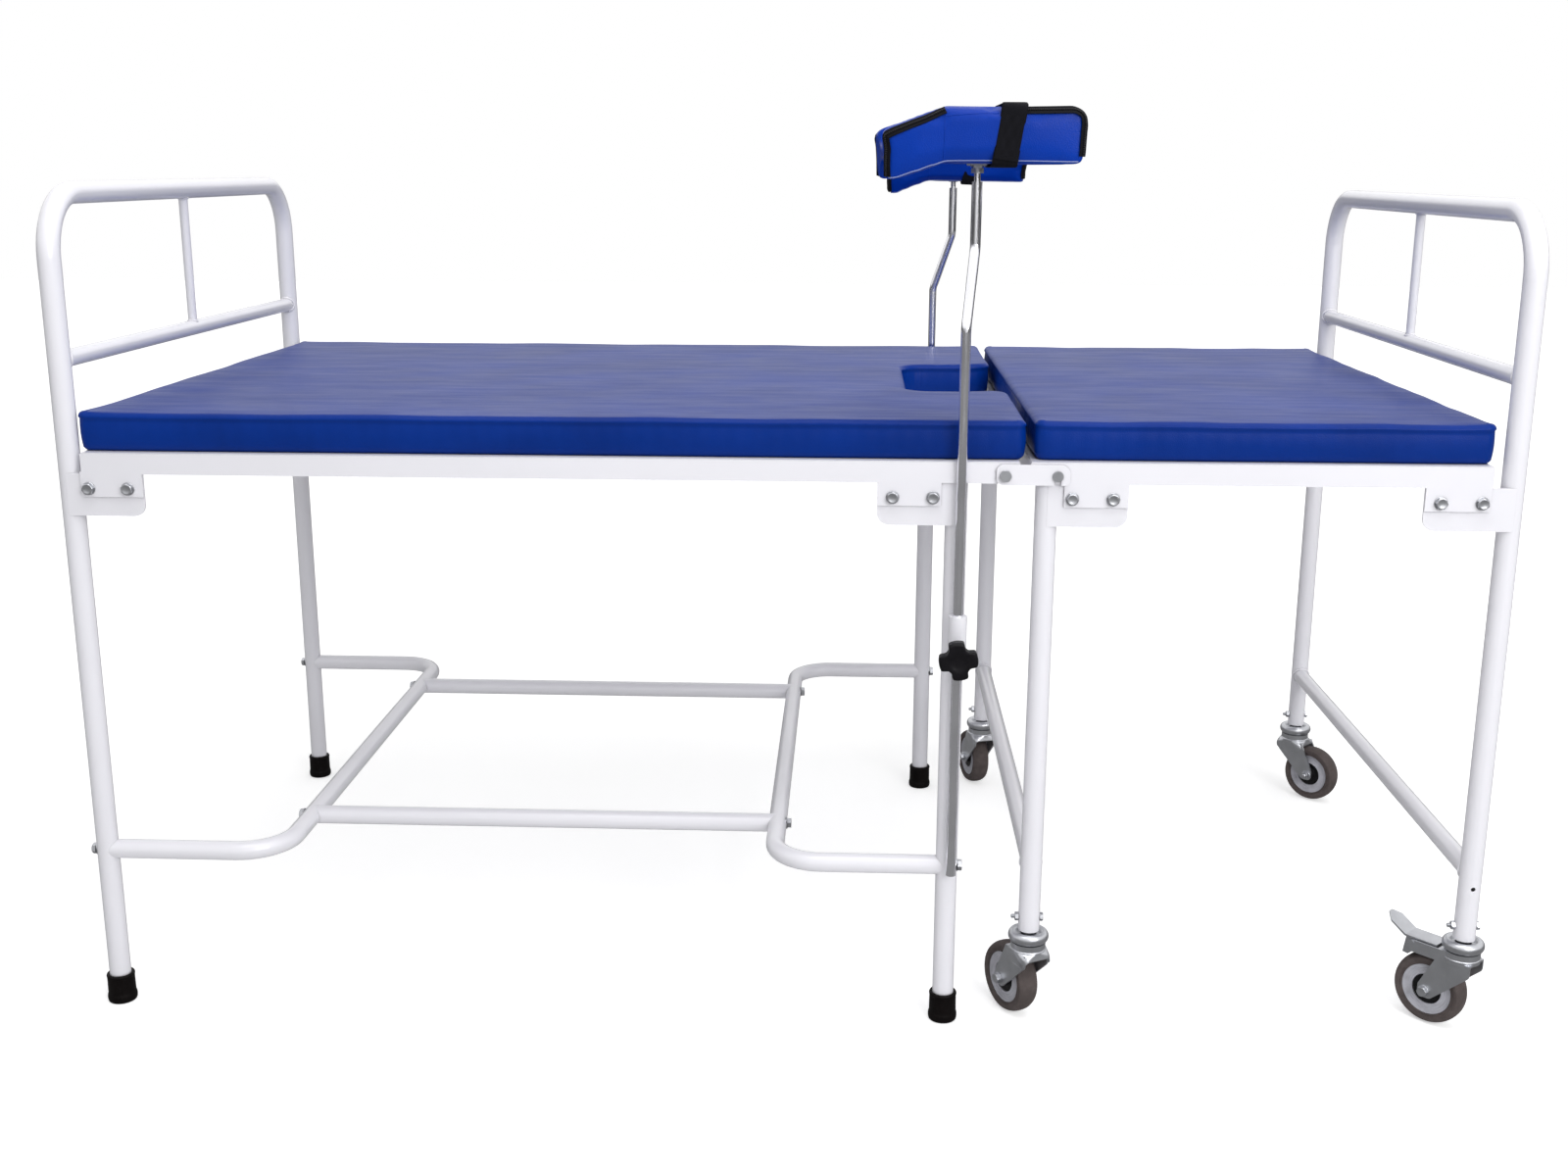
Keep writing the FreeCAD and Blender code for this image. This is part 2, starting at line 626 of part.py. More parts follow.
def corner_plate(name, x, way, off):
    """A plate welded to a leg behind the frame's lug, with its lower free corner rounded."""
    body = new_body(name)
    far = "%s * (%s + lug_long)" % (way, off)
    side = new_sketch(body, "side", "XZ_Plane")
    low = "web_low - plate_tall"
    outline(side, [("0", low), (far, low), (far, "web_low"), ("0", "web_low")], {1: "plate_round"})
    pad(body, side, "rail_thick", back=True)
    drill(body, "cope", "XY_Plane", "leg_od", [("0", "web_in - side_y")])
    return place(body, x=x, y="-web_in")


def plates(name, ends):
    near = [corner_plate("%s_%d" % (name, i), x, way, off) for i, (x, way, off) in enumerate(ends)]
    far = [mirror(item.Name + "_far", item) for item in near]
    return group(name, near + far)


keep(plates("head_leg_brackets", [("head_x", "1", "lug_off"), ("mid_x", "-1", "lug_off")]))
keep(plates("foot_leg_brackets", [("inner_x", "1", "lug_off"), ("foot_x", "-1", "foot_lug_off")]))


def seat_corners(end, half):
    """The plan of the head section's top, with the cut-out open at the foot end."""
    return [("LOW", "-" + half), (end, "-" + half), (end, "-seat_half"),
            (end + " - seat_deep", "-seat_half"), (end + " - seat_deep", "seat_half"),
            (end, "seat_half"), (end, half), ("LOW", half)]


def slab(name, x, corners, rounds, z, thick):
    body = new_body(name)
    pad(body, outline(new_sketch(body, "plan", "XY_Plane"), corners, rounds), thick)
    return place(body, x=x, z=z)


deck_half = "(web_out - deck_inset)"
deck_end = "head_end - deck_inset"
deck_plan = [(x.replace("LOW", "frame_gap + deck_inset"), y)
             for x, y in seat_corners(deck_end, deck_half)]
head_deck = slab("head_deck", "head_x", deck_plan, {3: "seat_round", 4: "seat_round"},
                 "frame_top", "deck_thick")
pad_plan = [(x.replace("LOW", "head_pad_start"), y)
            for x, y in seat_corners("head_pad_end", "pad_half")]
head_mattress = slab("head_mattress", "head_x", pad_plan,
                     {0: "pad_corner", 1: "pad_corner", 2: "mouth_round", 3: "seat_round",
                      4: "seat_round", 5: "mouth_round", 6: "pad_corner", 7: "pad_corner"},
                     "frame_top + deck_thick", "pad_tall")
foot_low = "deck_inset - inner_past"
foot_high = "foot_len - foot_gap - deck_inset"
foot_deck = slab("foot_deck", "inner_x",
                 [(foot_low, "-" + deck_half), (foot_high, "-" + deck_half),
                  (foot_high, deck_half), (foot_low, deck_half)], {}, "frame_top", "deck_thick")
pad_low = "-foot_pad_in"
pad_high = "foot_len - foot_pad_gap"
foot_mattress = slab("foot_mattress", "inner_x",
                     [(pad_low, "-pad_half"), (pad_high, "-pad_half"),
                      (pad_high, "pad_half"), (pad_low, "pad_half")],
                     {i: "pad_corner" for i in range(4)},
                     "frame_top + deck_thick", "pad_tall")
keep(head_deck, head_mattress, foot_deck, foot_mattress)


# Latches between the sections

def latch(name, sign):
    """A flat bar that turns on its pivot bolt; the slot under its end drops over the stud."""
    body = new_body(name)
    bar = new_sketch(body, "bar", "XZ_Plane")
    tip = "latch_reach + latch_tip"
    box_outline(bar, "-latch_back", tip, "-latch_down", "latch_up",
                {0: "latch_down * 0.7", 1: "latch_down * 0.5", 2: "latch_down", 3: "latch_down * 0.7"})
    pad(body, bar, "latch_thick", both=True)
    drill(body, "pivot", "XZ_Plane", "bolt_d + 2 * run_fit", [("0", "0")])
    slot = new_sketch(body, "slot", "XZ_Plane")
    half = "stud_d / 2 + pivot_gap"
    outline(slot, [("latch_reach - (%s)" % half, "-latch_down - 1"),
                   ("latch_reach + %s" % half, "-latch_down - 1"),
                   ("latch_reach + %s" % half, "0"),
                   ("latch_reach - (%s)" % half, "0")], arcs={2: "0"})
    pocket(body, slot)
    y = "web_out + pivot_gap + latch_thick / 2"
    return place(body, x="mid_x + latch_x", y=sign + "(" + y + ")", z="latch_z")


keep(latch("latch_near", "-"), latch("latch_far", ""))

def both_sides(name, source, **where):
    """A turned piece that points out of the near side, and its mirror image."""
    item = link(name + "_near", source, **where)
    item.Placement = Placement(item.Placement.Base, to_near)
    near = doc.addObject("Part::Compound", name + "_set")
    near.Links = [item]
    return group(name, [near, mirror(name + "_far", near)])


grip = "latch_thick + 2 * pivot_gap + rail_thick"
pivot_bolt = hex_bolt("pivot_bolt", "bolt_d", "bolt_af", "head_tall", grip + " + nut_tall + 2",
                      grip, "nut_tall")
keep(both_sides("latch_pivots", pivot_bolt, x="mid_x + latch_x",
                y="-web_out - latch_thick - 2 * pivot_gap", z="latch_z"))

stud = new_body("stud")
stud_len = "latch_thick + 2 * pivot_gap"
profile = [("0", "0"), ("stud_d / 2", "0"), ("stud_d / 2", stud_len), ("stud_head_d / 2", stud_len),
           ("stud_head_d / 2", stud_len + " + stud_head"), ("0", stud_len + " + stud_head")]
revolve(stud, outline(new_sketch(stud, "profile", "XZ_Plane"), profile))
keep(both_sides("latch_studs", stud, x="mid_x + latch_x + latch_reach", y="-web_out", z="latch_z"))


# Castors

CASTORS = [
    ("inner_near", "inner_x", "-side_y"),
    ("inner_far", "inner_x", "side_y"),
    ("foot_near", "foot_x", "-side_y"),
    ("foot_far", "foot_x", "side_y"),
]
BRAKED = "foot_near"


def fork_sheet(name, braked):
    """Pressed steel: two tapering legs under a bridge, with the swivel race on top.

    The stem axis is the local Z axis and the wheel trails along +X.
    """
    body = new_body(name)
    legs = new_sketch(body, "legs", "XZ_Plane")
    outline(legs, [("-fork_back", "bridge_top"), ("-fork_back", "bridge_low - 14"),
                   ("castor_trail - fork_eye", "wheel_r - fork_eye"),
                   ("castor_trail + fork_eye", "wheel_r - fork_eye"),
                   ("castor_trail + fork_eye", "wheel_r + 8"),
                   ("fork_front", "bridge_top")],
            {1: "fork_eye", 2: "fork_eye * 0.8", 3: "fork_eye * 0.8"})
    pad(body, legs, "fork_wide", both=True)
    if braked:
        hood = new_sketch(body, "hood", "XZ_Plane")
        box_outline(hood, "0", "brake_hood", "bridge_low - 4", "bridge_top + race_tall - 2",
                    {1: "fork_eye", 2: "fork_eye"})
        pad(body, hood, "fork_wide", both=True)
    inside = new_sketch(body, "inside", "XZ_Plane")
    box_outline(inside, "-fork_back - 40", "brake_hood + 40", "0", "bridge_low")
    pocket(body, inside, "fork_inside")
    if braked:
        gap = new_sketch(body, "hood_gap", "XZ_Plane")
        box_outline(gap, "race_d / 2 + 2", "brake_hood + 40", "bridge_low - 8",
                    "race_top + 20")
        pocket(body, gap, "fork_inside")
        pin = new_sketch(body, "brake_pin", "XZ_Plane")
        circle(pin, "brake_pin_d", "brake_pin_x", "brake_pin_z")
        pad(body, pin, "fork_wide + 2", both=True)
    race = new_sketch(body, "race", "XY_Plane", "bridge_low")
    circle(race, "race_d")
    pad(body, race, "fork_thick + race_tall")
    drill(body, "king", "XY_Plane", "king_d + 2 * run_fit", [("0", "0")])
    axle = new_sketch(body, "axle", "XZ_Plane")
    circle(axle, "axle_d", "castor_trail", "wheel_r")
    pad(body, axle, "fork_wide + 2 * axle_end", both=True)
    return body


def castor(corner, x, y):
    turn = "turn_" + corner
    fork = fork_sheet("castor_fork_" + corner, corner == BRAKED)
    place(fork, x=x, y=y, turn=turn)

    wheel_x = "%s + castor_trail * cos(%s)" % (x, turn)
    wheel_y = "%s + castor_trail * sin(%s)" % (y, turn)
    tyre = new_body("castor_tyre_" + corner)
    half = "wheel_wide / 2"
    section = new_sketch(tyre, "section", "YZ_Plane")
    box_outline(section, "-" + half, half, "rim_d / 2", "wheel_r")
    revolve(tyre, section, "H_Axis")
    place(tyre, x=wheel_x, y=wheel_y, z="wheel_r", turn=turn)

    centre = new_body("castor_wheel_" + corner)
    right = [("hub_wide / 2", "axle_d / 2 + run_fit"), ("hub_wide / 2", "hub_d / 2"),
             ("rim_wide / 2", "hub_d / 2"), ("rim_wide / 2", "rim_d / 2")]
    left = [("-" + across, up) for across, up in reversed(right)]
    revolve(centre, outline(new_sketch(centre, "section", "YZ_Plane"), right + left), "H_Axis")
    place(centre, x=wheel_x, y=wheel_y, z="wheel_r", turn=turn)
    keep(fork, tyre, centre)


for corner, x, y in CASTORS:
    castor(corner, x, y)

# The stem is riveted through the fork's bridge, so the king pin, raceway cap and stem are one piece.
stem = new_body("stem")
king_low = "bridge_low - run_fit * 2"
bore = "leg_od / 2 - leg_wall - stem_clear"
profile = [
    ("0", king_low + " - king_head"), ("king_head_d / 2", king_low + " - king_head"),
    ("king_head_d / 2", king_low), ("king_d / 2", king_low),
    ("king_d / 2", "race_top + pivot_gap"), ("race_d / 2", "race_top + pivot_gap"),
    ("race_d / 2", "race_top + pivot_gap + cap_tall"), ("cap_top_d / 2", "leg_foot"),
    (bore, "leg_foot"), (bore, "leg_foot + stem_tall"), ("0", "leg_foot + stem_tall"),
]
revolve(stem, outline(new_sketch(stem, "profile", "XZ_Plane"), profile))
keep(group("castor_stems", [link("stem_" + c, stem, x=x, y=y) for c, x, y in CASTORS]))

# The brake pedal is a channel between the fork's ears; its shoe hangs over the tyre.
pedal = new_body("pedal_sheet")
plate_z = "bridge_top + race_tall - 2"
side = new_sketch(pedal, "side", "XZ_Plane")
reach_x = "race_d / 2 + 5"
shoe_x = "brake_pin_x + 10"
shoe_z = "wheel_r + sqrt(wheel_r ^ 2 - (brake_pin_x + 8 - castor_trail) ^ 2) + shoe_gap"
outline(side, [
    (reach_x, plate_z), ("brake_pin_x + 14", plate_z),
    ("pedal_reach", plate_z + " + pedal_rise"),
    ("pedal_reach", plate_z + " + pedal_rise + pedal_thick"),
    ("brake_pin_x + 13", plate_z + " + pedal_thick"), (reach_x, plate_z + " + pedal_thick")],
    {1: "brake_pin_d", 4: "brake_pin_d"})
pad(pedal, side, "fork_inside - 4", both=True)
lever = new_sketch(pedal, "lever", "XZ_Plane")
outline(lever, [("brake_pin_x - 6", plate_z), ("brake_pin_x - 6", "brake_pin_z - 6"),
                ("brake_pin_x + 8", shoe_z), ("brake_pin_x + 16", shoe_z + " + 1"),
                ("brake_pin_x + 12", plate_z + " + pedal_thick / 2"),
                ("brake_pin_x - 6", plate_z + " + pedal_thick / 2")])
pad(pedal, lever, "fork_inside - 8", both=True)
drill(pedal, "pin_hole", "XZ_Plane", "brake_pin_d + 2 * run_fit", [("brake_pin_x", "brake_pin_z")])
tip = new_sketch(pedal, "tip", "XY_Plane", "leg_foot - 40")
outline(tip, [("pedal_reach + 20", "0"), ("pedal_reach + 20", "fork_inside"),
              ("pedal_reach - 26", "fork_inside"), ("pedal_reach", "4")])
outline(tip, [("pedal_reach + 20", "0"), ("pedal_reach", "-4"),
              ("pedal_reach - 26", "-fork_inside"), ("pedal_reach + 20", "-fork_inside")])
pocket(pedal, tip, back=True, both=False)
place(pedal, x="foot_x", y="-side_y", turn="turn_foot_near")
pedal.Label = "brake_pedal"
keep(pedal)


# Knee crutches

def socket(side):
    """The tube welded beside the middle leg, with a threaded boss for the clamp screw."""
    body = new_body("socket_" + side)
    sign = "" if side == "far" else "-"
    circle(new_sketch(body, "disc", "XY_Plane", "socket_low"), "socket_od")
    pad(body, doc.getObject("socket_%s_disc" % side), "socket_tall")
    boss = new_sketch(body, "boss", "XZ_Plane")
    circle(boss, "boss_d", "0", "screw_z")
    pad(body, boss, "socket_od / 2 + boss_len", back=side == "far")
    drill(body, "bore", "XY_Plane", "rod_d + 2 * run_fit", [("0", "0")])
    drill(body, "thread", "XZ_Plane", "bolt_d + 2 * run_fit", [("0", "screw_z")],
          length="socket_od + boss_len", both=False, back=side == "near")
    inward = "-" if side == "far" else ""
    leg_y = "%s(rod_y - side_y)" % inward
    drill(body, "cope", "XY_Plane", "leg_od", [("-rod_off", leg_y)])
    return place(body, x="rod_x", y=sign + "rod_y")


keep(group("crutch_sockets", [socket("near"), socket("far")]))


def clamp_knob(side):
    """A four-lobed knob with its screw; the screw's end stops at the rod."""
    body = new_body("clamp_knob_" + side)
    outwards = side == "far"
    cross = new_sketch(body, "lobes", "XZ_Plane")
    a, b = "knob_lobe", "knob_reach"
    corners = [(a, "-" + b), (a, "-" + a), (b, "-" + a), (b, a), (a, a), (a, b),
               ("-" + a, b), ("-" + a, a), ("-" + b, a), ("-" + b, "-" + a), ("-" + a, "-" + a),
               ("-" + a, "-" + b)]
    rounds = {i: "knob_lobe * 0.72" for i in range(12) if i % 3 != 1}
    outline(cross, corners, rounds)
    start = "socket_od / 2 + boss_len + pivot_gap + knob_neck"
    bind(cross, AttachmentOffset__Base__z=start if side == "near" else "-(" + start + ")")
    pad(body, cross, "knob_thick", back=outwards)
    neck = new_sketch(body, "neck", "XZ_Plane", start if side == "near" else "-(" + start + ")")
    circle(neck, "knob_neck_d")
    pad(body, neck, "knob_neck", back=not outwards)
    screw = new_sketch(body, "screw", "XZ_Plane", start if side == "near" else "-(" + start + ")")
    circle(screw, "bolt_d")
    pad(body, screw, start + " - rod_d / 2 - pivot_gap", back=not outwards)
    return place(body, x="rod_x", y=SIDE[side] + "rod_y", z="screw_z")


def crutch_rod(side):
    """A chromed rod with a crank near its top and a spigot for the swivel bracket."""
    corners = [("0", "rod_bottom"), ("0", "crank_low"), ("crank_out", "crank_high"),
               ("crank_out", "rod_top")]
    body = bent_tube("crutch_rod_" + side, "XZ_Plane", "XY_Plane", corners, "crank_bend", "rod_d",
                     ("0", "0", "rod_bottom"))
    spigot = new_sketch(body, "spigot", "XY_Plane", "rod_top")
    circle(spigot, "spigot_d", "crank_out", "0")
    pad(body, spigot, "spigot_tall")
    z = "0" if side == "near" else "-far_drop"
    return place(body, x="rod_x", y=SIDE[side] + "rod_y", z=z, turn="turn_%s_rod" % side)


def crutch_place(item, side, tilted=True):
    """Puts a piece of a crutch head on its tilt bolt."""
    turn = "turn_%s_rod" % side
    x = "rod_x + crank_out * cos(%s)" % turn
    y = "%srod_y + crank_out * sin(%s)" % (SIDE[side], turn)
    z = "pivot_z" if side == "near" else "pivot_z - far_drop"
    if side == "far" and tilted:
        item.Placement = Placement(Vector(), Rotation(Vector(1, 0, 0), 15))
        bind(item, Placement__Rotation__Angle="far_roll")
    return place(item, x=x, y=y, z=z)


def swivel_bracket(side):
    """A collar on the rod's spigot, with an eye above it that carries the tilt pin."""
    body = new_body("swivel_bracket_" + side)
    collar = new_sketch(body, "collar", "XY_Plane", "-collar_low")
    circle(collar, "collar_d")
    pad(body, collar, "collar_low - eye_round - 1")
    eye = new_sketch(body, "eye", "YZ_Plane")
    outline(eye, [("-eye_round", "-eye_round - 1"), ("eye_round", "-eye_round - 1"),
                  ("eye_round", "0"), ("-eye_round", "0")], arcs={2: "0"})
    pad(body, eye, "eye_thick", both=True)
    pin = new_sketch(body, "pin", "YZ_Plane")
    circle(pin, "tilt_d")
    pad(body, pin, "eye_thick + 2 * pivot_gap + 2 * ear_thick + 4", both=True)
    top = "spigot_tall - pivot_up + pivot_gap"
    drill(body, "bore", "XY_Plane", "spigot_d + 2 * run_fit", [("0", "0")],
          length=top + " + collar_low + 1", both=False, offset=top)
    return crutch_place(body, side, tilted=False)


def gutter_plate(side):
    """The steel plate under the cushion, with two ears on either side of the bracket's eye."""
    body = new_body("gutter_plate_" + side)
    shift = "crutch_shift" if side == "far" else "-crutch_shift"
    half = "crutch_wide / 2 - crutch_side - 1"
    plate = new_sketch(body, "plate", "XY_Plane", "gutter_up")
    box_outline(plate, "-gutter_left", "gutter_right", "%s - (%s)" % (shift, half),
                "%s + %s" % (shift, half), {i: "eye_round" for i in range(4)})
    pad(body, plate, "gutter_thick")
    ears = new_sketch(body, "ears", "YZ_Plane")
    outline(ears, [("-eye_round", "0"), ("eye_round", "0"),
                   ("eye_round * 1.6", "gutter_up + gutter_thick / 2"),
                   ("-eye_round * 1.6", "gutter_up + gutter_thick / 2")],
            arcs={0: "0"})
    pad(body, ears, "eye_thick + 2 * pivot_gap + 2 * ear_thick", both=True)
    slot = new_sketch(body, "slot", "YZ_Plane")
    box_outline(slot, "-eye_round * 3", "eye_round * 3", "-eye_round * 2", "gutter_up")
    pocket(body, slot, "eye_thick + 2 * pivot_gap")
    drill(body, "bolt_hole", "YZ_Plane", "tilt_d + 2 * run_fit", [("0", "0")])
    return crutch_place(body, side)


def crutch_cushion(side):
    """A padded gutter: two side bolsters joined by a floor, drooping towards the head end."""
    body = new_body("crutch_cushion_" + side)
    left, right, bend = "-crutch_left", "crutch_right", "-crutch_bend"
    low = "-crutch_low"
    top = "crutch_tall - crutch_low"
    outer = new_sketch(body, "side", "XZ_Plane")
    outline(outer, [(left, low + " - crutch_droop"), (bend, low), (right + " - crutch_end_in", low),
                    (right, top), (bend, top),
                    (left + " - crutch_end_out", low + " - crutch_droop + crutch_end_tall")],
            {0: "crutch_corner", 2: "crutch_corner", 3: "crutch_shoulder", 5: "crutch_corner"})
    pad(body, outer, "crutch_wide", both=True)
    hollow = "crutch_wide - 2 * crutch_side"
    for name, edge, beyond in (("gutter", "crutch_web_low + crutch_web", "crutch_tall * 1.5"),
                               ("recess", "crutch_web_low", "-crutch_tall")):
        cut = new_sketch(body, name, "XZ_Plane")
        outline(cut, [(left + " - 20", edge + " - crutch_droop"), (bend, edge),
                      (right + " + 20", edge), (right + " + 20", beyond),
                      (left + " - 20", beyond)])
        pocket(body, cut, hollow)
    for sketch in body.Group:
        if sketch.TypeId == "Sketcher::SketchObject":
            shift = "crutch_shift" if side == "near" else "-crutch_shift"
            bind(sketch, AttachmentOffset__Base__z=shift)
    return crutch_place(body, side)


def crutch_strap(side):
    """A webbing band round the cushion, closed over the gutter."""
    body = new_body("crutch_strap_" + side)
    shift = "crutch_shift" if side == "far" else "-crutch_shift"
    band = new_sketch(body, "band", "YZ_Plane", "strap_from")
    for grow in ("soft_gap", "soft_gap + strap_thick"):
        half = "crutch_wide / 2 + " + grow
        low = "-crutch_low - (%s)" % grow
        high = "crutch_tall - crutch_low + " + grow
        box_outline(band, "%s - (%s)" % (shift, half), "%s + %s" % (shift, half), low, high,
                    {i: grow for i in range(4)})
    pad(body, band, "strap_wide")
    return crutch_place(body, side)


for side in ("near", "far"):
    keep(clamp_knob(side), crutch_rod(side), swivel_bracket(side), gutter_plate(side),
         crutch_cushion(side), crutch_strap(side))


# Check every piece and write it

doc.recompute()
faults = [item.Name for item in doc.Objects
          if "Invalid" in item.State or "Error" in item.State]
if faults:
    raise RuntimeError("failed objects: " + ", ".join(faults))
for item in NODES:
    if item.Shape.isNull() or not item.Shape.isValid() or not item.Shape.Solids:
        raise RuntimeError("no valid solid: " + item.Label)

os.makedirs("parts", exist_ok=True)
for item in NODES:
    item.Shape.exportStep("parts/" + item.Label + ".step")
print(len(NODES), "pieces written")
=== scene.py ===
"""Delivery bed: finishes, padding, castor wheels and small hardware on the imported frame.

Lengths are in metres. The long side of the bed is X, its far side is +Y and up is +Z.
"""

import json
import math
from itertools import product
from types import SimpleNamespace

import bmesh
import bpy
import numpy as np
from bpy.props import FloatProperty, FloatVectorProperty, IntProperty, PointerProperty
from mathutils import Matrix, Vector
from mathutils.geometry import delaunay_2d_cdt


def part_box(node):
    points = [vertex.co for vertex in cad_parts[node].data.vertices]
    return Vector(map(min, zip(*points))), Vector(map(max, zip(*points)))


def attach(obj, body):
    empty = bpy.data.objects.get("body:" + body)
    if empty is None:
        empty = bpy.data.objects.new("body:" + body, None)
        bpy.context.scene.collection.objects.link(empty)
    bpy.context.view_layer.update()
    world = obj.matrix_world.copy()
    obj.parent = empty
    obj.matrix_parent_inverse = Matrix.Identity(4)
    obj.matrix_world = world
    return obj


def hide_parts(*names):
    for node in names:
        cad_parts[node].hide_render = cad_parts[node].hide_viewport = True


bl_info = {
    "name": "Delivery bed",
    "version": (1, 0, 0),
    "blender": (4, 5, 0),
    "location": "View3D > Sidebar > Delivery bed",
    "description": "Finishes, padding, wheels and hardware of a two-section delivery bed",
    "category": "Object",
}

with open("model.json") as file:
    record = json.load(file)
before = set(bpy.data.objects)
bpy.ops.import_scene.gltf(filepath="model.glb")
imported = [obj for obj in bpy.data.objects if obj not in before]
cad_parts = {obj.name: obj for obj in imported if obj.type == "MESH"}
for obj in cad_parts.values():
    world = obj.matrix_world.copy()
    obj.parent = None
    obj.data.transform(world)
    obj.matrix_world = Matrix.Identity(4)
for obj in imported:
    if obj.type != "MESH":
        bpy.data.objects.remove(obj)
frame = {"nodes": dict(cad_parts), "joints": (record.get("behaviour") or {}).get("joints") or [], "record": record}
NODES = frame["nodes"]
JOINTS = {joint["name"]: joint for joint in frame["joints"]}
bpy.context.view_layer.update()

SIDES = {"near": -1, "far": 1}
CASTORS = ("inner_near", "inner_far", "foot_near", "foot_far")
BRAKED = "foot_near"
UP = (0.0, 0.0, 1.0)


# Places that are read from the frame

def corners(node):
    """Lowest and highest corner of a CAD node, as arrays."""
    low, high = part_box(node)
    return np.array(low, float), np.array(high, float)


def middle(node):
    """Middle of a CAD node's box."""
    low, high = corners(node)
    return (low + high) / 2


def extent(node):
    """Lengths of a CAD node's box."""
    low, high = corners(node)
    return high - low


def joint_at(name):
    """A joint's place and axis."""
    return np.array(JOINTS[name]["pos_m"]), np.array(JOINTS[name]["axis"])


LEG_RADIUS = float(extent("inner_leg_near")[0]) / 2
LEG_X = {
    "head": float(middle("head_crossbar")[0]),
    "middle": float(middle("middle_leg_near")[0]),
    "inner": float(middle("inner_leg_near")[0]),
    "foot": float(middle("foot_crossbar")[0]),
}
LEG_Y = abs(float(middle("inner_leg_near")[1]))
WEB_Y = abs(float(corners("head_frame")[0][1]))
BRACE_Z = float(middle("stretchers")[2])
STRETCHER_Y = 0.305


# Surfaces worked out on grids

CAPPED = (True, True)


def surface(points, along=False, caps=(False, False), material=0, stretch=(1.0, 1.0)):
    """One grid of points whose rows are closed rings. `along` joins the last row to the first, and
    `caps` close the first and last row on a pole. `stretch` is its length and girth in the UV map."""
    return {"points": np.asarray(points, float), "along": along, "caps": caps,
            "material": material, "stretch": stretch}


def grid_quads(rows, columns, around=True, along=False):
    """Corner numbers of a grid's quads, and each corner's share of the way along and round."""
    last_row = rows if along else rows - 1
    last_column = columns if around else columns - 1
    i, j = np.meshgrid(np.arange(last_row), np.arange(last_column), indexing="ij")
    i, j = i.ravel(), j.ravel()
    steps = ((i, j), (i, j + 1), (i + 1, j + 1), (i + 1, j))
    corner = np.stack([(a % rows) * columns + b % columns for a, b in steps], axis=1)
    share = np.stack([np.stack([a / last_row, b / last_column], axis=-1) for a, b in steps], axis=1)
    return corner, share


def piece(name, surfaces, finishes, body, node=None, sharp=35.0):
    """Puts grids into one mesh that rides on a body and may stand for a CAD node."""
    points, loops, totals, fill, uv = [], [], [], [], []
    count = 0
    for grid in surfaces:
        rows, columns = grid["points"].shape[:2]
        flat = grid["points"].reshape(-1, 3)
        points.append(flat)
        corner, share = grid_quads(rows, columns, along=grid["along"])
        faces = [(corner + count, share * grid["stretch"])]
        base, count = count, count + len(flat)
        for wanted, row in zip(grid["caps"], (0, rows - 1)):
            if wanted:
                edge = np.arange(columns) + row * columns
                points.append(flat[edge].mean(axis=0)[None])
                fan = np.stack([edge + base, np.roll(edge, -1) + base, np.full(columns, count)], axis=1)
                faces.append((fan, np.zeros((columns, 3, 2))))
                count += 1
        for corner, share in faces:
            loops.append(corner.ravel())
            uv.append(share.ravel())
            totals.append(np.full(len(corner), corner.shape[1]))
            fill.append(np.full(len(corner), grid["material"]))
    loops, totals = np.concatenate(loops), np.concatenate(totals)
    starts = np.concatenate([[0], np.cumsum(totals)[:-1]])
    mesh = bpy.data.meshes.new(name)
    mesh.vertices.add(count)
    mesh.vertices.foreach_set("co", np.concatenate(points).ravel())
    mesh.loops.add(len(loops))
    mesh.loops.foreach_set("vertex_index", loops.astype(np.int32))
    mesh.polygons.add(len(totals))
    rows = {"loop_start": starts, "loop_total": totals, "material_index": np.concatenate(fill)}
    for kind, values in rows.items():
        mesh.polygons.foreach_set(kind, values.astype(np.int32))
    mesh.update(calc_edges=True)
    mesh.uv_layers.new(name="along_and_round").data.foreach_set("uv", np.concatenate(uv))
    mended(mesh)
    return dress(bpy.data.objects.new(name, mesh), finishes, body, node, sharp)


def mended(mesh, merge=0.0, outwards=True):
    """Merges a mesh's doubles and turns the faces of its closed shells outwards."""
    work = bmesh.new()
    work.from_mesh(mesh)
    if merge:
        bmesh.ops.remove_doubles(work, verts=work.verts, dist=merge)
    if outwards:
        bmesh.ops.recalc_face_normals(work, faces=work.faces)
    work.to_mesh(mesh)
    work.free()


def dress(item, finishes, body, node, sharp):
    """Gives an object its finishes, smooth shading up to an angle and its body, and hides the CAD node that it
    stands for.
    """
    if item.name not in bpy.context.scene.collection.objects:
        bpy.context.scene.collection.objects.link(item)
    for name in finishes:
        item.data.materials.append(finish(name))
    item.data.shade_smooth()
    item.data.set_sharp_from_angle(angle=math.radians(sharp))
    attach(item, body)
    if node:
        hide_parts(node)
    return item


def basis(axis, up=UP):
    """Columns of a turn that takes +Z onto `axis` and keeps +Y near `up`."""
    z = np.asarray(axis, float)
    z = z / np.linalg.norm(z)
    up = np.asarray(up, float)
    if abs(z @ up) > 0.95:
        up = np.array([0.0, 1.0, 0.0])
    x = np.cross(up, z)
    x = x / np.linalg.norm(x)
    return np.stack([x, np.cross(z, x), z], axis=1)


def circle(steps):
    """Angles of evenly spaced places round a full turn."""
    return np.linspace(0, 2 * np.pi, steps, endpoint=False)


def set_at(points, origin, axis, up=UP):
    """Carries a shape made about the local Z axis to a place and direction."""
    return points @ basis(axis, up).T + np.asarray(origin, float)


